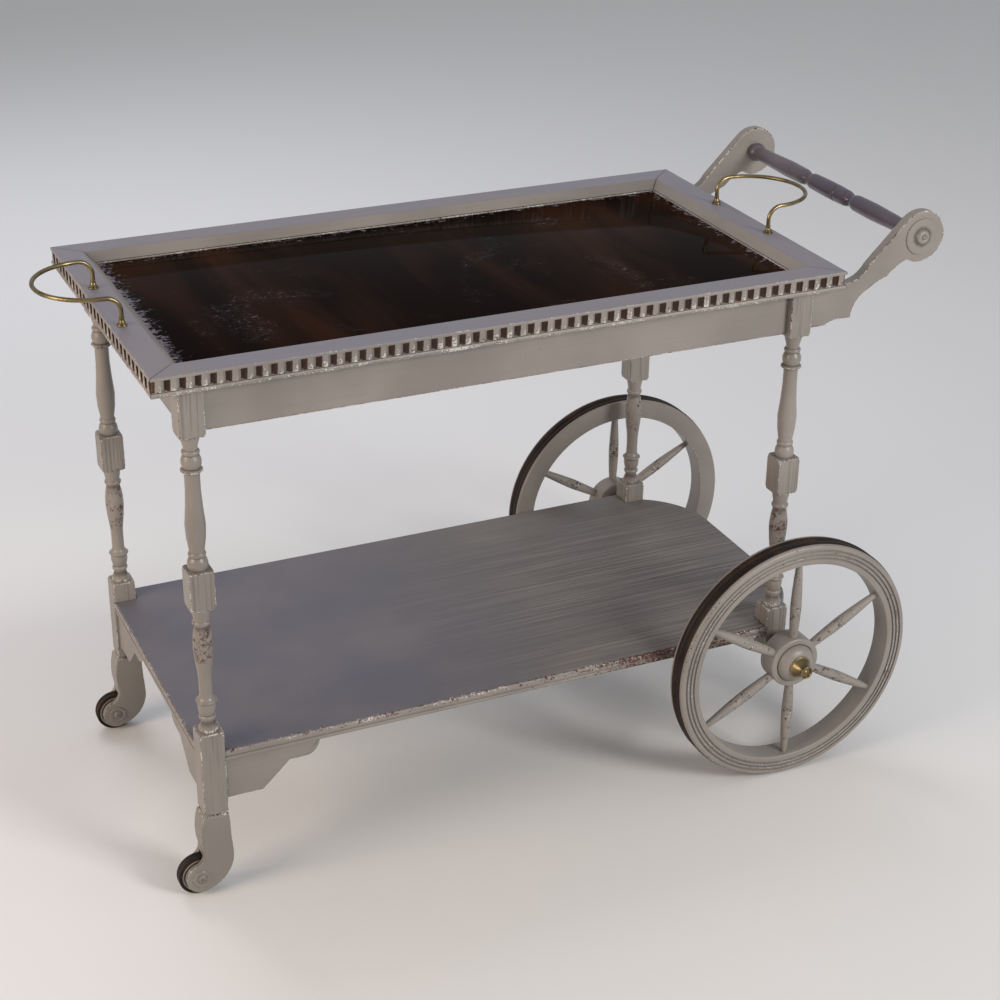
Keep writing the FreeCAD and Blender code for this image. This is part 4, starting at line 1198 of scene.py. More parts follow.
@dataclass
class Tray:
    """The lift-off tray: dentil rails, smoked glass and brass bows; lengths in millimetres."""

    length: float = 918.0
    width: float = 486.0
    height: float = 25.5
    top: float = 35.0
    rail: float = 48.0
    rabbet: float = 36.0
    lip: float = 10.5
    pitch: float = 18.0
    gap: float = 11.4
    pocket_low: float = 7.7
    pocket_high: float = 21.5
    land_drop: float = 1.0
    land_tall: float = 15.0
    land_deep: float = 0.2
    land_worn: float = 0.85
    rim_wide: float = 0.5
    rim_deep: float = 0.6
    rim_round: float = 0.45
    slope: float = 4.6
    slope_deep: float = 4.2
    pit_deep: float = 1.2
    pit_margin: float = 0.35
    scoop_low: float = 2.2
    sill: float = 0.8
    # pale rubbed paint on the sills: wear, and a painted highlight
    sill_wear_and_highlight: float = 1.25
    seam: float = 1.3
    section_fine: float = 22.0
    glass_thick: float = 4.0
    glass_margin: float = 36.4
    glass_edge: float = 0.5
    rod: float = 2.8
    rod_start: float = 0.5
    rod_sides: int = 20
    span: float = 69.5
    rise: float = 18.0
    bend: float = 18.0
    bend_steps: int = 10
    bow_steps: int = 48
    foot_rounds: int = 24
    foot_soften: float = 0.2
    inset: float = 14.5
    body: str = "tray"

    def section(self) -> list[Step]:
        """Returns the rail's section, inwards and upwards from its outer lower edge."""
        height = self.height
        low = Vector((self.rail - 0.6, self.lip + 2.2))
        high = Vector((self.top + 0.6, height - 0.5))
        return [
            (2.6, 0.0), (6.0, 0.0), (self.rabbet, 0.0), (self.rabbet, self.lip), (self.rail, self.lip),
            Bow((self.rail + 0.7, self.lip + 1.1), low),
            *[low.lerp(high, part) for part in (0.1, 0.3, 0.75)], high,
            Bow((self.top, height - 0.12), (self.top - 0.8, height)), (self.top - 4.0, height),
            (5.5, height), (1.6, height), Bow((0.45, height - 0.45), (0.0, height - 1.6)),
            (0.0, self.pocket_high), (0.0, self.pocket_low),
            Bow((0.55, 6.9), (0.35, 6.2)), Bow((-0.5, 3.6), (2.6, 0.0)),
        ]

    def dentils(self, blank: Blank, loop: list[Edge], length: float) -> list[bmesh.types.BMFace]:
        """Runs the section along x, cell by cell.

        Args:
            blank: the rail.
            loop: the edges of its section.
            length: outer length of the rail.

        Returns:
            The faces where the pockets go, each pocket's slope and then its pit.
        """
        land = self.pitch - self.gap
        cells = round(length / self.pitch) + 1
        runs = [land / 2.0]
        for cell in range(cells):
            runs += [self.slope, self.gap - self.slope, land if cell < cells - 1 else land / 2.0]
        pockets = []
        for number, run in enumerate(runs):
            loop = blank.pull(loop, (run, 0, 0))
            if number % 3:
                for face in {f for e in loop for f in e.link_faces}:
                    middle = face.calc_center_median()
                    if abs(middle.y) < FLAT and self.pocket_low < middle.z < self.pocket_high:
                        pockets.append(face)
        return pockets

    def scoop(self, blank: Blank, pockets: Sequence[bmesh.types.BMFace]) -> None:
        """Sinks each pocket: a slope on the left and a pit on the right, whose dark is painted shadow.

        Args:
            blank: the rail.
            pockets: the faces of the pockets, each slope before its pit.
        """
        slopes, pits = pockets[::2], pockets[1::2]
        bmesh.ops.inset_region(blank.bm, faces=pockets, thickness=self.rim_wide, depth=-self.rim_deep,
                               use_even_offset=True, use_boundary=True)
        # Slopes are spared from wear and painted shade; pits are marked for painted shadow, brown in the rail
        # paint.
        for slope, pit in zip(slopes, pits):
            blank.tag("soil", slope.verts, -1.0)
            for vert in set(slope.verts) & set(pit.verts):
                vert.co.y += self.slope_deep
        for deep in (0.0, self.pit_deep):
            bmesh.ops.inset_individual(blank.bm, faces=pits, thickness=self.pit_margin, depth=-deep,
                                       use_even_offset=True)
            for pit in pits:
                blank.tag("soil", pit.verts, 1.0)
        for pit in pits:
            middle = pit.calc_center_median()
            for vert in pit.verts:
                if vert.co.z < middle.z:
                    vert.co.z += self.scoop_low

    def mark_wear(self, blank: Blank, length: float) -> None:
        """Marks a rail's worn lands, its sills rubbed pale as wear and painted highlight, and its dark mitre
        joints.

        Args:
            blank: the rail.
            length: its outer length.
        """
        verts = blank.bm.verts
        lands = [v for v in verts if v.co.y < self.land_deep
                 and -self.land_drop < v.co.z - self.pocket_low < self.land_tall]
        blank.tag("worn", lands, self.land_worn)
        # The sills at the bottom of each slope are rubbed pale: wear, and a painted highlight.
        first = (-length - self.gap) / 2.0 - self.sill
        sills = [v for v in lands if abs(v.co.z - self.pocket_low) < self.sill
                 and (v.co.x - first) % self.pitch < self.slope]
        blank.tag("worn", sills, self.sill_wear_and_highlight)
        mitre = [v for v in verts if abs(abs(v.co.x) + v.co.y - length / 2.0) < FLAT]
        blank.tag("soil", mitre, 1.0)

    def rail_blank(self, length: float) -> Blank:
        """Makes a rail along x, mitred at both ends.

        Args:
            length: its outer length.

        Returns:
            The rail, its outer face on y = 0 and its body towards +y.
        """
        blank = Blank()
        blank.draw(self.section(), Plane.YZ, True, self.section_fine)
        start = -length / 2.0 - self.pitch / 2.0
        bmesh.ops.translate(blank.bm, verts=blank.bm.verts[:], vec=(start, 0, 0))
        pockets = self.dentils(blank, blank.bm.edges[:], length)
        bmesh.ops.recalc_face_normals(blank.bm, faces=blank.bm.faces[:])
        count = Counter(edge for face in pockets for edge in face.edges)
        rims = [edge for edge, uses in count.items() if uses == 1]
        self.scoop(blank, pockets)
        blank.bevel(rims, self.rim_round, 1)
        for end in (-1, 1):
            blank.cut((end * (length / 2.0 - self.seam), 0, 0), (end, 1, 0))
            blank.trim((end * length / 2.0, 0, 0), (end, 1, 0))
        blank.close()
        self.mark_wear(blank, length)
        return blank

    def build_rails(self, finishes: Finishes) -> None:
        """Makes the four rails.

        Args:
            finishes: the materials.
        """
        half_x = self.length / 2.0
        half_y = self.width / 2.0
        rails = {
            "front": (self.length, 0.0, -half_y, 0.0, Coat.RAIL_LONG),
            "back": (self.length, 0.0, half_y, 180.0, Coat.RAIL_LONG),
            "left": (self.width, -half_x, 0.0, -90.0, Coat.RAIL_CROSS),
            "right": (self.width, half_x, 0.0, 90.0, Coat.RAIL_CROSS),
        }
        for word, (length, x, y, angle, coat) in rails.items():
            blank = self.rail_blank(length)
            if word == "left":
                blank.move(Matrix.Scale(-1.0, 4, (1.0, 0.0, 0.0)))
            blank.move(shift(LAYOUT.tray_x + x, y, LAYOUT.deck) @ turn_z(angle))
            blank.deliver("dentil_rail_" + word, finishes.paint[coat], self.body, "painted_wood",
                          ["tray_rail_" + word])

    def build_glass(self, finishes: Finishes) -> None:
        """Makes the glass panel.

        Args:
            finishes: the materials.
        """
        half_x = self.length / 2.0 - self.glass_margin
        half_y = self.width / 2.0 - self.glass_margin
        top = LAYOUT.deck + self.lip
        blank = Blank.board((LAYOUT.tray_x - half_x, -half_y, top - self.glass_thick),
                            (LAYOUT.tray_x + half_x, half_y, top), self.glass_edge)
        blank.deliver("smoked_glass_panel", finishes.glass, self.body, "smoked_glass", ["tray_glass"])

    @staticmethod
    def foot() -> list[Step]:
        """Returns the flared foot of a bow, as radius and height."""
        return [
            (0.0, 0.0), (6.2, 0.0), Bow((6.6, 0.9), (6.1, 1.8)), (5.0, 2.0), (5.0, 2.6),
            Bow((5.5, 3.1), (5.0, 3.6)), Bow((3.5, 5.6), (3.1, 9.0)), Bow((3.6, 9.6), (3.1, 10.2)),
            (0.0, 10.4)]

    def bow_blank(self) -> Blank:
        """Makes a brass bow whose feet stand on z = 0 at x = 0, bowed towards +x."""
        blank = Blank()
        start = bmesh.ops.create_circle(blank.bm, cap_ends=False, segments=self.rod_sides, radius=self.rod,
                                        matrix=shift(0.0, -self.span, self.rod_start))["verts"]
        loop = list({e for v in start for e in v.link_edges})
        turns = [
            ((self.bend, -self.span, self.rise), (0, 1, 0), 90.0, self.bend_steps),
            ((self.bend, 0.0, self.rise + self.bend), (0, 0, 1), 180.0, self.bow_steps),
            ((self.bend, self.span, self.rise), (0, -1, 0), 90.0, self.bend_steps),
        ]
        loop = blank.pull(loop, (0, 0, self.rise - self.rod_start))
        for centre, axis, angle, steps in turns:
            last = bmesh.ops.spin(blank.bm, geom=loop, cent=centre, axis=axis, dvec=(0, 0, 0),
                                  angle=math.radians(angle), steps=steps)["geom_last"]
            loop = [e for e in last if isinstance(e, Edge)]
        blank.pull(loop, (0, 0, self.rod_start - self.rise))
        bmesh.ops.holes_fill(blank.bm, edges=[e for e in blank.bm.edges if e.is_boundary], sides=0)
        blank.close()
        for side in Side:
            foot = Blank.turned(self.foot(), self.foot_rounds, self.foot_soften)
            blank.join(foot.move(shift(0.0, side.value * self.span, 0.0)))
        return blank

    def build_bows(self, finishes: Finishes) -> None:
        """Makes the two brass bows.

        Args:
            finishes: the materials.
        """
        for word, end in (("left", -1), ("right", 1)):
            foot_x = LAYOUT.tray_x + end * (self.length / 2.0 - self.inset)
            blank = self.bow_blank()
            blank.move(shift(foot_x, 0.0, LAYOUT.deck + self.height) @ turn_z(90.0 - 90.0 * end))
            blank.deliver("brass_bow_" + word, finishes.brass, self.body, "brass", ["tray_handle_" + word])

    def build(self, finishes: Finishes) -> None:
        """Makes the whole tray.

        Args:
            finishes: the materials.
        """
        self.build_rails(finishes)
        self.build_glass(finishes)
        self.build_bows(finishes)


@dataclass
class LegSet:
    """Two turned left legs and two turned right posts; lengths in millimetres."""

    block: float = 31.5
    top_low: float = 642.0
    mid_high: float = 466.5
    mid_low: float = 415.0
    low_high: float = 240.0
    leg_end: float = 122.0
    post_end: float = 164.5
    pommel: float = 2.2
    pommel_tall: float = 5.0
    edge: float = 0.9
    sharp: float = 20.0
    margin: float = 3.0
    grained: float = 0.7
    rounds: int = 40
    fine: float = 7.0
    body: str = "cart_frame"

    def square(self, low: float, high: float, cut_low: bool, cut_high: bool) -> Blank:
        """Makes a square block whose corners are cut at the ends that meet a turning.

        Args:
            low: height of its lower end.
            high: height of its upper end.
            cut_low: whether the lower corners are cut.
            cut_high: whether the upper corners are cut.

        Returns:
            The block about the z axis.
        """
        half = self.block / 2.0
        blank = Blank.board((-half, -half, low), (half, half, high), 0.0)
        reach = half * math.sqrt(2.0) - self.pommel
        for wanted, level, way in ((cut_low, low, -1.0), (cut_high, high, 1.0)):
            for x in (-1.0, 1.0) if wanted else ():
                for y in (-1.0, 1.0):
                    blank.trim((x * DIAGONAL * reach, y * DIAGONAL * reach, level),
                               (x * DIAGONAL, y * DIAGONAL, way * self.pommel / self.pommel_tall))
        blank.close()
        blank.ease(self.edge, sharp=self.sharp)
        blank.guard(self.margin)
        blank.tag("grained", blank.bm.verts, self.grained)
        return blank

    def upper(self) -> Blank:
        """Turns the neck, bulb, sharp ring and long vase under the top block."""
        level = partial(between, self.top_low, self.mid_high)
        return Blank.turned([
            (0.0, level(0.0)), (12.5, level(0.0)), (8.7, level(0.085)), (8.7, level(0.105)),
            Bow((11.0, level(0.124)), (9.2, level(0.143))), Bow((12.4, level(0.195)), (10.3, level(0.239))),
            (13.5, level(0.25)), (13.5, level(0.262)), (9.4, level(0.276)), (9.4, level(0.4)),
            Bow((10.5, level(0.52)), (12.7, level(0.66))), Bow((11.5, level(0.78)), (9.2, level(0.865))),
            Bow((11.0, level(0.885)), (9.6, level(0.905))), Bow((12.8, level(0.956)), (11.25, level(1.0))),
            (0.0, level(1.0))], self.rounds, fine=self.fine)

    def lower(self) -> Blank:
        """Turns the inverted vase, flared ring and foot between the lower blocks."""
        level = partial(between, self.mid_low, self.low_high)
        return Blank.turned([
            (0.0, level(0.0)), (12.4, level(0.0)), (9.7, level(0.09)), (9.7, level(0.104)),
            Bow((11.5, level(0.124)), (9.4, level(0.143))), (9.1, level(0.15)),
            Bow((11.5, level(0.22)), (12.5, level(0.325))), Bow((11.1, level(0.43)), (9.2, level(0.51))),
            Bow((8.65, level(0.55)), (8.4, level(0.61))), (8.4, level(0.7)),
            Bow((9.6, level(0.728)), (13.1, level(0.75))), Bow((13.4, level(0.756)), (12.7, level(0.763))),
            (11.2, level(0.776)), Bow((11.4, level(0.815)), (9.4, level(0.86))), (8.7, level(0.868)),
            Bow((10.8, level(0.888)), (8.7, level(0.908))), (8.4, level(0.922)), (12.3, level(0.982)),
            (12.3, level(1.0)), (0.0, level(1.0))], self.rounds, fine=self.fine)

    def blank(self, foot: float) -> Blank:
        """Makes a whole leg.

        Args:
            foot: height of its lower end.

        Returns:
            The leg about the z axis.
        """
        leg = self.square(self.top_low, LAYOUT.deck, True, False)
        leg.join(self.square(self.mid_low, self.mid_high, True, True))
        leg.join(self.square(foot, self.low_high, False, True))
        leg.join(self.upper())
        leg.join(self.lower())
        return leg

    def build(self, finishes: Finishes) -> None:
        """Makes the four legs.

        Args:
            finishes: the materials.
        """
        for side in Side:
            for word, x, foot in (("leg_%s_left", LAYOUT.left_x, self.leg_end),
                                  ("post_%s_right", LAYOUT.right_x, self.post_end)):
                node = word % side.word
                leg = self.blank(foot).move(shift(x, side.value * LAYOUT.side_y, 0.0))
                leg.deliver("turned_" + node, finishes.paint[Coat.POST], self.body, "painted_wood", [node])


@dataclass
class ApronSet:
    """The four boards between the legs under the tray; lengths in millimetres."""

    tall: float = 58.5
    thick: float = 12.0
    edge: float = 1.0
    margin: float = 3.5
    body: str = "cart_frame"

    def build(self, finishes: Finishes) -> None:
        """Makes the four boards.

        Args:
            finishes: the materials.
        """
        half = self.thick / 2.0
        low, high = LAYOUT.deck - self.tall, LAYOUT.deck
        start, end = LAYOUT.left_x + LAYOUT.half_block, LAYOUT.right_x - LAYOUT.half_block
        reach = LAYOUT.side_y - LAYOUT.half_block
        boards = {
            "front": ((start, -LAYOUT.side_y - half, low), (end, half - LAYOUT.side_y, high), Coat.LONG),
            "back": ((start, LAYOUT.side_y - half, low), (end, LAYOUT.side_y + half, high), Coat.LONG),
            "left": ((LAYOUT.left_x - half, -reach, low), (LAYOUT.left_x + half, reach, high), Coat.CROSS),
            "right": ((LAYOUT.right_x - half, -reach, low), (LAYOUT.right_x + half, reach, high), Coat.CROSS),
        }
        for word, (near, far, coat) in boards.items():
            blank = Blank.board(near, far, self.edge)
            blank.guard(self.margin)
            blank.deliver("apron_board_" + word, finishes.paint[coat], self.body, "painted_wood",
                          ["apron_" + word])


@dataclass
class Shelf:
    """The lower shelf with a moulded edge, and its four brackets; lengths in millimetres."""

    top: float = 213.0
    thick: float = 16.0
    reach: float = 57.75
    corner: float = 118.0
    corner_fine: float = 4.0
    sharpest: float = 0.3
    groove: float = 1.0
    worn_tall: float = 4.0
    knocked: float = 0.9
    spared: float = -0.35
    bracket_long: float = 126.0
    bracket_tall: float = 57.0
    bracket_foot: float = 48.0
    bracket_nose: float = 22.0
    bracket_slope: float = 0.67
    bracket_thick: float = 16.0
    bracket_recess: float = 4.0
    bracket_edge: float = 1.0
    margin: float = 3.0
    body: str = "cart_frame"

    def outline(self) -> list[Step]:
        """Returns the shelf's plan, notched round the four legs."""
        block = LAYOUT.half_block
        front, inner = LAYOUT.side_y + block, LAYOUT.side_y - block
        tip = LAYOUT.right_x + block + self.reach
        centre = tip - self.corner
        chord = LAYOUT.right_x + block - centre
        straight = inner - math.sqrt(self.corner ** 2 - chord ** 2)
        diagonal = self.corner * DIAGONAL
        return flipped([
            (tip, 0.0), (tip, straight),
            Bow((centre + diagonal, straight + diagonal), (LAYOUT.right_x + block, inner)),
            (LAYOUT.right_x - block, inner), (LAYOUT.right_x - block, front),
            (LAYOUT.left_x + block, front), (LAYOUT.left_x + block, inner), (LAYOUT.left_x - block, inner)])

    def edge(self) -> list[Point]:
        """Returns the edge from the underside to the top, as inset and height."""
        low = self.top - self.thick
        return [
            (12.0, low), (3.0, low), (0.9, low + 0.3), (0.2, low + 1.1), (0.0, low + 2.2), (0.0, low + 4.6),
            (0.3, low + 5.3), (1.5, low + 5.7), (1.7, low + 6.4), (1.5, low + 7.1), (0.4, low + 7.5),
            (0.0, low + 8.4), (0.0, low + 9.4), (0.0, self.top - 3.6), (0.4, self.top - 1.8),
            (1.5, self.top - 0.7), (3.0, self.top), (4.5, self.top), (14.0, self.top)]

    def mitre(self, corner: bmesh.types.BMLoop) -> Vector:
        """Finds the way inwards at a corner.

        Args:
            corner: a corner of the plan.

        Returns:
            The move for an inset of one.
        """
        into = (corner.vert.co - corner.link_loop_prev.vert.co).normalized()
        out = (corner.link_loop_next.vert.co - corner.vert.co).normalized()
        left_into = Vector((-into.y, into.x, 0.0))
        mean = (left_into + Vector((-out.y, out.x, 0.0))).normalized()
        return mean / max(self.sharpest, mean.dot(left_into))

    def mark_wear(self, blank: Blank, ring: Sequence[Vert], sheltered: bool) -> None:
        """Marks one step of the edge: spared at the left and at the wheel end, knocked at the right.

        Args:
            blank: the board.
            ring: the vertices of the step.
            sheltered: whether the step lies on the edge's face, clear of the groove and the top.
        """
        for mark in ("soil", "worn"):
            blank.tag(mark, ring, 0.0)
        spared = [v for v in ring if v.co.x > LAYOUT.right_x or sheltered and v.co.x < 0.0]
        blank.tag("soil", spared, self.spared)
        knocked = [v for v in ring if sheltered and v.co.x > 0.0 and abs(v.co.y) > LAYOUT.side_y]
        blank.tag("worn", knocked, self.knocked)

    def board_blank(self) -> Blank:
        """Makes the board: its plan is raised step by step along the edge's moulding."""
        blank = Blank()
        blank.draw(self.outline(), Plane.XY, True, self.corner_fine)
        face = bmesh.ops.contextual_create(blank.bm, geom=blank.bm.edges[:])["faces"][0]
        face.normal_update()
        if face.normal.z < 0.0:
            face.normal_flip()
        plan = {corner.vert: (corner.vert.co.copy(), self.mitre(corner)) for corner in face.loops}
        bmesh.ops.delete(blank.bm, geom=[face], context="FACES_ONLY")
        (inset, height), *steps = self.edge()
        for vert, (place, inward) in plan.items():
            vert.co = place + inward * inset + Vector((0, 0, height))
        bottom = ring = blank.bm.edges[:]
        for inset, height in steps:
            verts, ring = blank.extend(ring)
            new = set(verts)
            for vert in verts:
                source = next(e.other_vert(vert) for e in vert.link_edges if e.other_vert(vert) not in new)
                place, inward = plan[vert] = plan[source]
                vert.co = place + inward * inset + Vector((0, 0, height))
            self.mark_wear(blank, verts, inset < self.groove and height < self.top - self.worn_tall)
        for rim in (bottom, ring):
            bmesh.ops.contextual_create(blank.bm, geom=rim)
        blank.close()
        return blank

    def bracket_blank(self) -> Blank:
        """Makes a bracket along x from the leg, with its top on z = 0."""
        nose = self.bracket_nose
        start = self.bracket_long - nose
        blank = Blank.sawn([
            (0.0, 0.0), (0.0, -self.bracket_tall), (self.bracket_foot, -self.bracket_tall),
            (self.bracket_slope * self.bracket_long, -nose), (start, -nose),
            Bow((start + DIAGONAL * nose, -DIAGONAL * nose), (self.bracket_long, 0.0))],
            self.bracket_thick, self.bracket_edge, self.margin)
        blank.guard(self.margin)
        return blank

    def build(self, finishes: Finishes) -> None:
        """Makes the shelf and its brackets.

        Args:
            finishes: the materials.
        """
        self.board_blank().deliver("moulded_shelf", finishes.paint[Coat.SHELF], self.body, "painted_wood",
                                   ["lower_shelf"])
        low = self.top - self.thick
        setback = LAYOUT.half_block - self.bracket_recess - self.bracket_thick / 2.0
        for side in Side:
            y = side.value * (LAYOUT.side_y + setback)
            long_side = self.bracket_blank().move(shift(LAYOUT.left_x + LAYOUT.half_block, y, low))
            long_side.deliver("shelf_bracket_" + side.word, finishes.paint[Coat.LONG], self.body,
                              "painted_wood", ["bracket_" + side.word])
            y = side.value * (LAYOUT.side_y - LAYOUT.half_block)
            end = self.bracket_blank()
            end.move(shift(LAYOUT.left_x - setback, y, low) @ turn_z(-90.0 * side.value))
            end.deliver("end_bracket_" + side.word, finishes.paint[Coat.CROSS], self.body, "painted_wood",
                        ["bracket_left_" + side.word])


def rosette(wide: float, thick: float, button: float, rise: float) -> Blank:
    """Turns a dished disc with a button that has a dimple and a small tip.

    Args:
        wide: its diameter.
        thick: height of the rim.
        button: diameter of the button.
        rise: height of the button.

    Returns:
        The disc on z = 0, facing +z.
    """
    edge, knob = wide / 2.0, button / 2.0
    return Blank.turned([
        (0.0, 0.0), (edge, 0.0), (edge, 0.5 * thick),
        Bow((edge - 0.2 * thick, 0.85 * thick), (edge - 0.7 * thick, thick)),
        Bow((0.5 * (edge + knob), 0.6 * thick), (knob + 0.6 * thick, 0.3 * thick)), (knob, 0.4 * rise),
        Bow((0.86 * knob, 0.78 * rise), (0.55 * knob, 0.95 * rise)), (0.36 * knob, 0.8 * rise),
        (0.26 * knob, 0.8 * rise), Bow((0.18 * knob, 0.95 * rise), (0.0, rise))],
        rounds=48, soften=0.12 * thick)


@dataclass
class PushHandle:
    """Two sawn arms, the turned bar between them and two rosettes; lengths in millimetres."""

    disc: float = 35.0
    thick: float = 13.5
    root: float = 65.75
    root_tall: float = 55.0
    room: float = 0.5
    cusp_left: float = 0.559
    cusp_down: float = 0.829
    edge: float = 1.3
    margin: float = 3.0
    bar: float = 12.0
    bar_end: float = 9.5
    neck: float = 7.0
    collar: float = 13.5
    waist: float = 54.5
    ring: float = -20.5
    rosette_wide: float = 49.0
    rosette_thick: float = 2.2
    button: float = 19.0
    button_tall: float = 6.4
    body: str = "cart_frame"

    def arm_outline(self) -> list[Step]:
        """Returns the arm: straight root beside the post, rising neck and round end."""
        start = LAYOUT.right_x + LAYOUT.half_block
        top = LAYOUT.deck - self.room
        low = top - self.root_tall
        toe = start + self.root
        joint = (LAYOUT.bar_x - self.disc * DIAGONAL, LAYOUT.bar_z + self.disc * DIAGONAL)
        cusp = (LAYOUT.bar_x - self.cusp_left * self.disc, LAYOUT.bar_z - self.cusp_down * self.disc)
        bend = joint[0] - (joint[1] - top - 20.0)
        ledge = low + 5.5
        near = (cusp[0] - 28.0, cusp[1] - 19.0)
        far = (toe + 20.0, ledge + 34.0)
        return [
            (start, low), (start, top), (bend - 32.0, top), Bow((bend - 14.0, top + 5.6), (bend, top + 20.0)),
            joint, Bow((LAYOUT.bar_x + self.disc, LAYOUT.bar_z), cusp),
            Bow((cusp[0] - 13.0, cusp[1] - 6.0), near),
            Bow((0.5 * (near[0] + far[0]) + 1.0, 0.5 * (near[1] + far[1]) + 2.0), far),
            Bow((toe + 6.5, ledge + 21.0), (toe, ledge)), (toe - 23.0, ledge),
            Bow((toe - 32.0, ledge - 1.6), (toe - 39.0, low))]

    def bar_blank(self) -> Blank:
        """Turns the bar: three barrels, two necks and rounded collars."""
        half = LAYOUT.side_y - self.thick / 2.0
        thick, waist, ring = self.bar, self.waist, self.ring
        span = half - waist
        shoulder = 0.6 * thick + 0.4 * self.neck
        side: list[Step] = [
            (thick - 0.6, 0.66 * waist), Bow((shoulder, 0.87 * waist), (self.neck, waist - 1.0)),
            (self.neck, waist + 1.0), Bow((shoulder, waist + 7.0), (thick - 0.6, waist + 17.0)),
            Bow((thick, waist + 0.3 * span), (thick - 1.0, waist + 0.58 * span)), (self.bar_end, half - 14.0),
            Bow((self.collar, half - 6.5), (self.bar_end + 1.5, half)), (0.0, half)]
        middle: list[Step] = [
            Bow((thick - 0.2, -0.5 * waist), (thick, ring - 1.2)), (thick - 0.9, ring - 0.4),
            (thick - 0.9, ring + 0.4), (thick, ring + 1.2), (thick, 0.15 * waist),
            Bow((thick - 0.15, 0.4 * waist), (thick - 0.6, 0.66 * waist))]
        return Blank.turned(flipped(side)[:len(side)] + middle + side[1:], rounds=40, soften=0.3, fine=6.0)

    def build(self, finishes: Finishes) -> None:
        """Makes arms, bar and rosettes.

        Args:
            finishes: the materials.
        """
        paint = finishes.paint
        for side in Side:
            arm = Blank.sawn(self.arm_outline(), self.thick, self.edge, self.margin)
            arm.guard(self.margin)
            arm.move(shift(0.0, side.value * LAYOUT.side_y, 0.0))
            arm.deliver("push_arm_" + side.word, paint[Coat.LONG], self.body, "painted_wood",
                        ["handle_arm_" + side.word])
            y = side.value * (LAYOUT.side_y + self.thick / 2.0)
            disc = rosette(self.rosette_wide, self.rosette_thick, self.button, self.button_tall)
            disc.move(shift(LAYOUT.bar_x, y, LAYOUT.bar_z) @ facing(side) @ TO_FRONT)
            disc.deliver("arm_rosette_" + side.word, paint[Coat.TURNED], self.body, "painted_wood",
                         ["handle_rosette_" + side.word])
        bar = self.bar_blank().move(shift(LAYOUT.bar_x, 0.0, LAYOUT.bar_z) @ ALONG_Y)
        bar.deliver("push_rail", paint[Coat.BAR], self.body, "painted_wood", ["push_bar"])


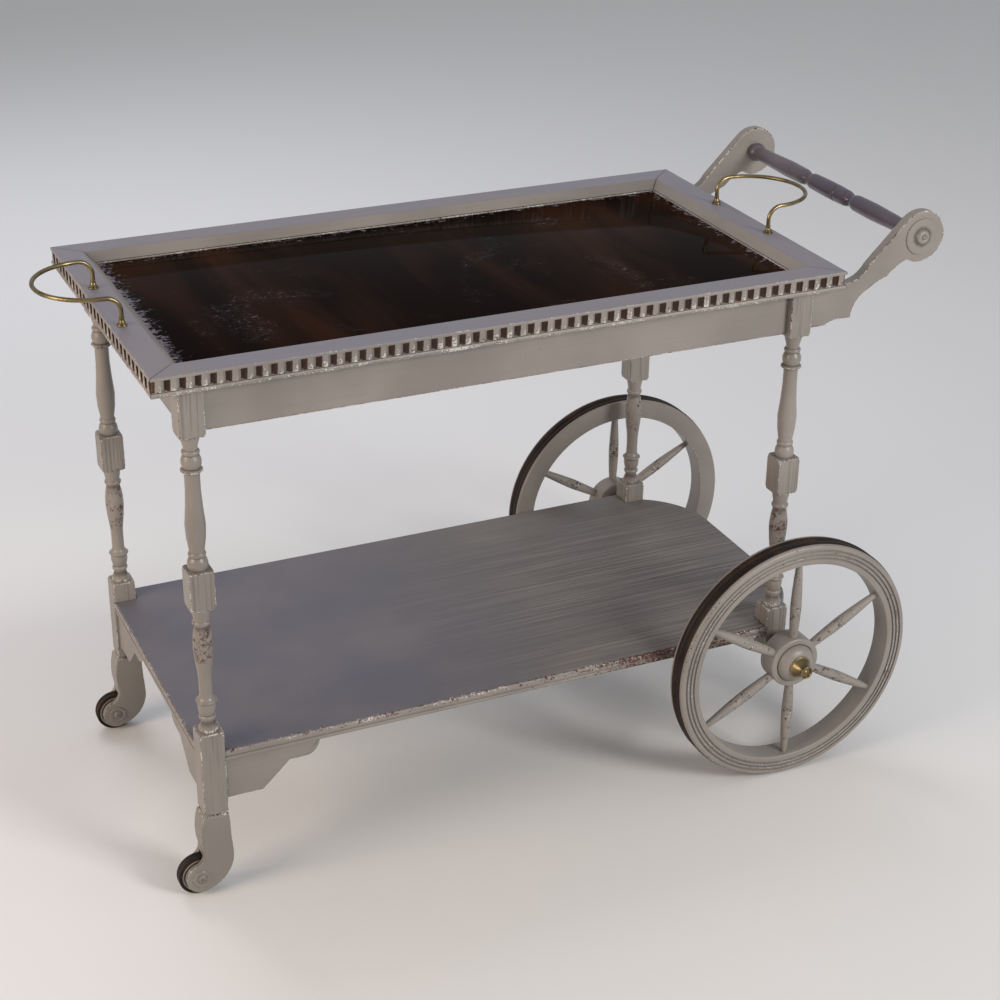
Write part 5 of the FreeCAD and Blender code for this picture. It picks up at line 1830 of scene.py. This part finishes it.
@dataclass
class WheelPair:
    """The two large spoked wheels; lengths in millimetres."""

    rim: float = 179.0
    rim_inner: float = 150.5
    half: float = 16.0
    bead: float = 4.5
    groove: float = 2.0
    groove_wide: float = 2.6
    groove_start: float = 7.2
    groove_pitch: float = 5.4
    channel: float = 11.0
    seat: float = 5.0
    proud: float = 1.5
    dip: float = 2.5
    tyre_room: float = 0.15
    tyre_lift: float = 0.1
    hub: float = 37.0
    dome: float = 27.5
    hub_outer: float = 27.5
    hub_inner: float = 35.45
    boss: float = 15.0
    bore: float = 8.05
    cap: float = 15.25
    cap_end: float = 8.5
    cap_long: float = 19.0
    spokes: int = 6
    spoke: float = 7.75
    spoke_hub: float = 5.75
    spoke_rim: float = 4.0
    spoke_ahead: float = 6.0
    spoke_belly: float = 0.42
    spoke_tenon: float = 2.0
    spoke_groove: float = 0.9
    rounds: int = 120

    def rim_blank(self) -> Blank:
        """Turns the rim with its bead, three fine grooves and the channel for the tyre."""
        rim, face, bead = self.rim, -self.half, self.bead
        floor = rim - self.seat
        steps: list[Step] = [
            (self.rim_inner, self.half), (rim - 2.0, self.half), (rim, self.half - 2.0), (rim, self.channel),
            (floor, self.channel), (floor, -self.channel), (rim, -self.channel), (rim, face + bead),
            Bow((rim - 0.29 * bead, face + 0.29 * bead), (rim - bead, face))]
        for number in range(3):
            start = rim - self.groove_start - self.groove_pitch * number
            end = start - self.groove_wide
            steps += [(start, face), Bow((0.5 * (start + end), face + self.groove), (end, face))]
        steps += [(self.rim_inner + 5.0, face), (self.rim_inner + 1.5, face),
                  Bow((self.rim_inner + 0.44, face + 0.44), (self.rim_inner, face + 1.5)),
                  (self.rim_inner, face + 5.0), (self.rim_inner, self.half - 4.0)]
        return Blank.turned(steps, self.rounds, soften=0.3, ring=True, fine=30.0)

    def tyre_blank(self) -> Blank:
        """Turns the tyre with its two ridges."""
        rim, edge = self.rim, self.channel - self.tyre_room
        floor = rim - self.seat + self.tyre_lift
        return Blank.turned([
            (floor, -edge), (floor, edge), (rim, edge),
            Bow((rim + self.proud, 0.55 * edge), (rim - self.dip, 0.0)),
            Bow((rim + self.proud, -0.55 * edge), (rim, -edge))],
            self.rounds, soften=0.2, ring=True, fine=20.0)

    def hub_blank(self) -> Blank:
        """Turns the hub: inner boss, drum and stepped dome."""
        face, end, tip = -self.half, -self.hub_outer, self.cap + 1.0
        return Blank.turned([
            (self.bore, self.hub_inner), (self.boss, self.hub_inner), (self.boss, self.half),
            (self.hub - 2.0, self.half), (self.hub, self.half - 2.0), (self.hub, face + 3.0),
            Bow((self.hub - 0.9, face + 0.9), (self.hub - 3.0, face)), (self.dome + 1.2, face),
            (self.dome + 0.6, face + 1.2), (self.dome, face + 1.2), (self.dome, face - 1.5),
            Bow((0.35 * tip + 0.65 * self.dome, 0.36 * face + 0.64 * end), (tip, end)), (self.bore, end)],
            rounds=64, soften=0.35, ring=True, fine=8.0)

    def cap_blank(self) -> Blank:
        """Turns the brass cap: cone with a ringed end."""
        base = -self.hub_outer
        end, rim, tip = self.cap_end, base - self.cap_long + 4.0, base - self.cap_long
        return Blank.turned([
            (0.0, base), (self.cap, base), Bow((self.cap + 0.8, base - 0.9), (self.cap, base - 1.8)),
            (self.cap - 1.0, base - 2.0), (end - 0.4, rim), (end + 0.4, rim - 0.6), (end + 0.9, tip + 1.2),
            Bow((end + 0.6, tip + 0.3), (end - 0.2, tip)), (end - 1.0, tip + 0.2), (end - 1.6, tip + 2.4),
            (3.2, tip + 2.4), (2.4, tip + 1.4), Bow((1.4, tip + 0.9), (0.0, tip + 0.8))],
            rounds=40, soften=0.2)

    def spokes_blank(self) -> Blank:
        """Turns the spokes and sets them round the hub, about the y axis."""
        low, high = self.hub - self.spoke_tenon, self.rim_inner + self.spoke_tenon
        belly = self.hub + self.spoke_belly * (self.rim_inner - self.hub)
        thick, waist = self.spoke, self.spoke - self.spoke_groove
        steps: list[Step] = [
            (0.0, low), (self.spoke_hub, low), (self.spoke_hub, self.hub),
            Bow((0.35 * self.spoke_hub + 0.65 * thick, 0.5 * (self.hub + belly)), (thick, belly - 3.4)),
            (waist, belly - 2.4), (thick, belly - 1.4), (thick, belly + 1.4), (waist, belly + 2.4),
            (thick, belly + 3.4),
            Bow((0.34 * self.spoke_rim + 0.66 * thick, 0.5 * (self.rim_inner + belly)),
                (self.spoke_rim, self.rim_inner)), (self.spoke_rim, high), (0.0, high)]
        one = Blank.turned(steps, rounds=24, soften=0.2, fine=1.5)
        whole = Blank()
        for number in range(self.spokes):
            turn = Matrix.Rotation(FULL_TURN * number / self.spokes, 4, "Y")
            whole.join(one.copy().move(turn))
        one.bm.free()
        return whole

    def build(self, finishes: Finishes) -> None:
        """Makes both wheels.

        Args:
            finishes: the materials.
        """
        paint = finishes.paint
        for side in Side:
            word = side.word
            body = "wheel_" + word
            place = shift(LAYOUT.right_x, side.value * LAYOUT.wheel_y, LAYOUT.axle_z) @ facing(side)
            turned = (
                (self.rim_blank(), "beaded_rim_", paint[Coat.TURNED], "painted_wood", "wheel_rim_"),
                (self.tyre_blank(), "rubber_tyre_", finishes.tyre, "tyre", "wheel_tyre_"),
                (self.hub_blank(), "domed_hub_", paint[Coat.TURNED], "painted_wood", "wheel_hub_"),
                (self.cap_blank(), "brass_cap_", finishes.brass, "brass", "wheel_cap_"))
            for blank, name, material, slot, node in turned:
                blank.move(place @ ALONG_Y)
                blank.deliver(name + word, material, body, slot, [node + word])
            spokes = self.spokes_blank().move(place @ shift(0.0, -self.spoke_ahead, 0.0))
            spokes.deliver("turned_spokes_" + word, paint[Coat.SPOKE], body, "painted_wood",
                           ["wheel_spokes_" + word])


@dataclass
class CastorPair:
    """The two swivel castors under the left legs; lengths in millimetres."""

    trail: float = 24.5
    wheel: float = 28.0
    wheel_wide: float = 13.0
    tyre: float = 4.5
    slot: float = 15.0
    room: float = 2.5
    end: float = 20.0
    belly: float = 19.0
    lobe: float = 22.0
    deep: float = 31.0
    bevel: float = 3.0
    shoulder_room: float = 0.5
    edge: float = 0.9
    sharp: float = 35.0
    margin: float = 2.5
    top: float = 120.5
    pin: float = 3.0
    fit: float = 0.05
    rounds: int = 56
    disc: float = 24.0
    disc_thick: float = 1.5
    button: float = 10.0
    button_tall: float = 2.6

    def outline(self) -> list[Step]:
        """Returns the horn seen from the side: bevelled top, lobe, notch, round end and belly."""
        shoulder = LAYOUT.half_block - self.shoulder_room
        axle = (-self.trail, self.wheel)
        level = partial(between, self.top, self.wheel)

        def on_end(angle: float) -> Point:
            """Returns a point of the round end."""
            turn = math.radians(angle)
            return axle[0] + self.end * math.cos(turn), axle[1] + self.end * math.sin(turn)

        return [
            (shoulder, self.top), (-shoulder, self.top),
            (-shoulder - self.bevel, self.top - 1.5 * self.bevel),
            Bow((-self.lobe, level(0.3)), (2.5 - self.lobe, level(0.59))),
            Bow((1.2 - self.lobe, level(0.7)), on_end(100.0)), Bow(on_end(190.0), on_end(285.0)),
            Bow((0.42 * self.belly, level(1.03)), (self.belly, level(0.65))),
            Bow((self.belly - 1.8, level(0.37)), (shoulder + 1.0, level(0.09)))]

    def horn_blank(self) -> Blank:
        """Makes the horn about the leg's axis, with the slot for its wheel."""
        horn = Blank.sawn(self.outline(), self.deep, 0.0)
        top = [e for e in horn.bm.edges if all(abs(v.co.z - self.top) < MERGE for v in e.verts)]
        long_edges = [e for e in top if abs(e.verts[0].co.y - e.verts[1].co.y) < MERGE]
        horn.bevel(long_edges, self.bevel, 1)
        half = self.slot / 2.0
        radius = self.wheel + self.room
        knife = Blank.turned([(0.0, -half), (radius, -half), (radius, half), (0.0, half)],
                             rounds=64, soften=0.0)
        horn.carve(knife.move(shift(-self.trail, 0.0, self.wheel) @ ALONG_Y))
        horn.ease(self.edge, sharp=self.sharp)
        horn.guard(self.margin)
        return horn

    def core_blank(self) -> Blank:
        """Turns the wheel, hollowed on both faces."""
        edge, seat, bore = self.wheel_wide / 2.0, self.wheel - self.tyre, self.pin + self.fit
        return Blank.turned([
            (bore, -edge), (6.0, -edge), (7.0, 1.0 - edge), (seat - 3.0, 1.0 - edge), (seat - 2.0, -edge),
            (seat, -edge), (seat, edge), (seat - 2.0, edge), (seat - 3.0, edge - 1.0), (7.0, edge - 1.0),
            (6.0, edge), (bore, edge)], self.rounds, soften=0.3, ring=True)

    def tread_blank(self) -> Blank:
        """Turns the tyre with a groove round its middle."""
        edge, seat, wheel = self.wheel_wide / 2.0, self.wheel - self.tyre + self.fit, self.wheel
        return Blank.turned([
            (seat, -edge), (wheel - 1.5, -edge), Bow((wheel - 0.4, 0.5 - edge), (wheel, 1.8 - edge)),
            (wheel, -edge / 4.0), (wheel - 1.2, 0.0), (wheel, edge / 4.0), (wheel, edge - 1.8),
            Bow((wheel - 0.4, edge - 0.5), (wheel - 1.5, edge)), (seat, edge)],
            self.rounds, soften=0.25, ring=True)

    def build(self, finishes: Finishes) -> None:
        """Makes both castors.

        Args:
            finishes: the materials.
        """
        paint = finishes.paint
        axle_x = LAYOUT.left_x - self.trail
        for side in Side:
            word = side.word
            y = side.value * LAYOUT.side_y
            horn = self.horn_blank().move(shift(LAYOUT.left_x, y, 0.0))
            horn.deliver("castor_fork_" + word, paint[Coat.HORN], "castor_" + word, "painted_wood",
                         ["castor_horn_" + word])
            discs = Blank()
            for face in Side:
                disc = rosette(self.disc, self.disc_thick, self.button, self.button_tall)
                place = shift(axle_x, y + face.value * self.deep / 2.0, self.wheel)
                discs.join(disc.move(place @ facing(face) @ TO_FRONT))
            discs.deliver("castor_discs_" + word, paint[Coat.TURNED], "castor_" + word, "painted_wood",
                          ["castor_rosettes_" + word])
            place = shift(axle_x, y, self.wheel) @ ALONG_Y
            core = self.core_blank().move(place)
            core.deliver("castor_core_" + word, paint[Coat.TURNED], "castor_roller_" + word, "painted_wood",
                         ["castor_wheel_" + word])
            tread = self.tread_blank().move(place)
            tread.deliver("castor_tread_" + word, finishes.tyre, "castor_roller_" + word, "tyre",
                          ["castor_tyre_" + word])


@dataclass
class InnerParts:
    """Construction solids that keep their shape and get a finish."""

    steel: tuple[str, ...] = ("tray_handle_screws", "axle", "axle_washers", "axle_nuts", "castor_sockets",
                              "castor_stem_front", "castor_stem_back", "castor_pin_front", "castor_pin_back")
    bronze: tuple[str, ...] = ("axle_bushes", "wheel_bush_front", "wheel_bush_back")
    board: tuple[str, ...] = ("tray_backing_board", "tray_battens")

    def dress(self, finishes: Finishes) -> None:
        """Gives each solid its finish.

        Args:
            finishes: the materials.
        """
        for names, material in ((self.steel, finishes.steel), (self.bronze, finishes.bronze),
                                (self.board, finishes.board)):
            for name in names:
                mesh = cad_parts[name].data
                mesh.materials.clear()
                mesh.materials.append(material)
                LOG.info("%s: keeps its solid", name)


@dataclass(frozen=True)
class Lamp:
    """A soft square lamp.

    Args:
        name: its name.
        place: where it hangs, in metres.
        size: side of its square.
        power: in watts.
        colour: its colour.
        mirrored: whether glossy surfaces show it.
    """

    name: str
    place: Place
    size: float
    power: float
    colour: Colour
    mirrored: bool = True

    def hang(self, aim: Place) -> None:
        """Hangs the lamp.

        Args:
            aim: the place that it points at.
        """
        data = bpy.data.lights.new(self.name, "AREA")
        data.size = self.size
        data.energy = self.power
        data.color = self.colour
        made = bpy.data.objects.new(self.name, data)
        made.location = self.place
        made.rotation_euler = (Vector(aim) - Vector(self.place)).to_track_quat("-Z", "Y").to_euler()
        made.visible_glossy = self.mirrored
        bpy.context.scene.collection.objects.link(made)


@dataclass
class Studio:
    """Pale floor, soft lamps and the camera: metres, degrees, and millimetres for the lens."""

    floor_half: float = 30.0
    floor_colour: Colour = (0.74, 0.735, 0.73)
    floor_rough: float = 0.85
    floor_shine: float = 0.2
    sky_colour: Colour = (0.93, 0.95, 1.0)
    sky: float = 0.45
    azimuth: float = -24.57
    elevation: float = 26.28
    roll: float = 0.66
    distance: float = 2.773
    target: Place = (0.0391, 0.0, 0.3653)
    lens: float = 71.58
    sensor: float = 36.0
    aim: Place = (0.0, 0.0, 0.4)
    key: Lamp = Lamp("key_lamp", (1.5, -2.9, 1.8), 1.0, 66.0, (1.0, 0.97, 0.93))
    fill: Lamp = Lamp("left_lamp", (-2.6, -0.5, 1.3), 1.2, 36.0, (1.0, 0.79, 0.60))
    rear: Lamp = Lamp("back_lamp", (-0.4, 2.6, 2.6), 1.8, 40.0, (0.88, 0.91, 1.0), mirrored=False)

    def build_floor(self) -> None:
        """Lays the floor."""
        bm = bmesh.new()
        bmesh.ops.create_grid(bm, x_segments=4, y_segments=4, size=self.floor_half)
        mesh = bpy.data.meshes.new("studio_floor")
        bm.to_mesh(mesh)
        bm.free()
        brush = Brush("pale_floor")
        mesh.materials.append(brush.finish({"Base Color": self.floor_colour, "Roughness": self.floor_rough,
                                            "Specular IOR Level": self.floor_shine}))
        floor = bpy.data.objects.new("studio_floor", mesh)
        bpy.context.scene.collection.objects.link(floor)

    def build_sky(self) -> None:
        """Lights the world softly."""
        world = bpy.data.worlds.new("studio_world")
        bpy.context.scene.world = world
        world.use_nodes = True
        sky = world.node_tree.nodes["Background"]
        sky.inputs["Color"].default_value = (*self.sky_colour, 1.0)
        sky.inputs["Strength"].default_value = self.sky

    def build_lamps(self) -> None:
        """Hangs the key lamp at the right front, a fill at the left and a soft one behind."""
        for lamp in (self.key, self.fill, self.rear):
            lamp.hang(self.aim)

    def build_camera(self) -> None:
        """Sets the camera at the photograph's view."""
        azimuth, elevation, roll = (math.radians(a) for a in (self.azimuth, self.elevation, self.roll))
        back = Vector((math.sin(azimuth) * math.cos(elevation), -math.cos(azimuth) * math.cos(elevation),
                       math.sin(elevation)))
        right = Vector((math.cos(azimuth), math.sin(azimuth), 0.0))
        up = back.cross(right)
        across = math.cos(roll) * right + math.sin(roll) * up
        upright = math.cos(roll) * up - math.sin(roll) * right
        data = bpy.data.cameras.new("photo_camera")
        data.lens = self.lens
        data.sensor_width = self.sensor
        camera = bpy.data.objects.new("photo_camera", data)
        turn = Matrix((across, upright, back)).transposed().to_4x4()
        camera.matrix_world = Matrix.Translation(Vector(self.target) + back * self.distance) @ turn
        bpy.context.scene.collection.objects.link(camera)
        bpy.context.scene.camera = camera

    def build(self) -> None:
        """Sets up floor, light and camera."""
        bpy.context.scene.view_settings.view_transform = "Standard"
        self.build_floor()
        self.build_sky()
        self.build_lamps()
        self.build_camera()


def main() -> None:
    """Builds the cart and its studio."""
    logging.basicConfig(level=logging.INFO, format="%(message)s")
    finishes = Finishes.mixed()
    for part in (Tray(), LegSet(), ApronSet(), Shelf(), PushHandle(), WheelPair(), CastorPair()):
        part.build(finishes)
        LOG.info("%s built", type(part).__name__)
    InnerParts().dress(finishes)
    Studio().build()


if __name__ == "__main__":
    main()
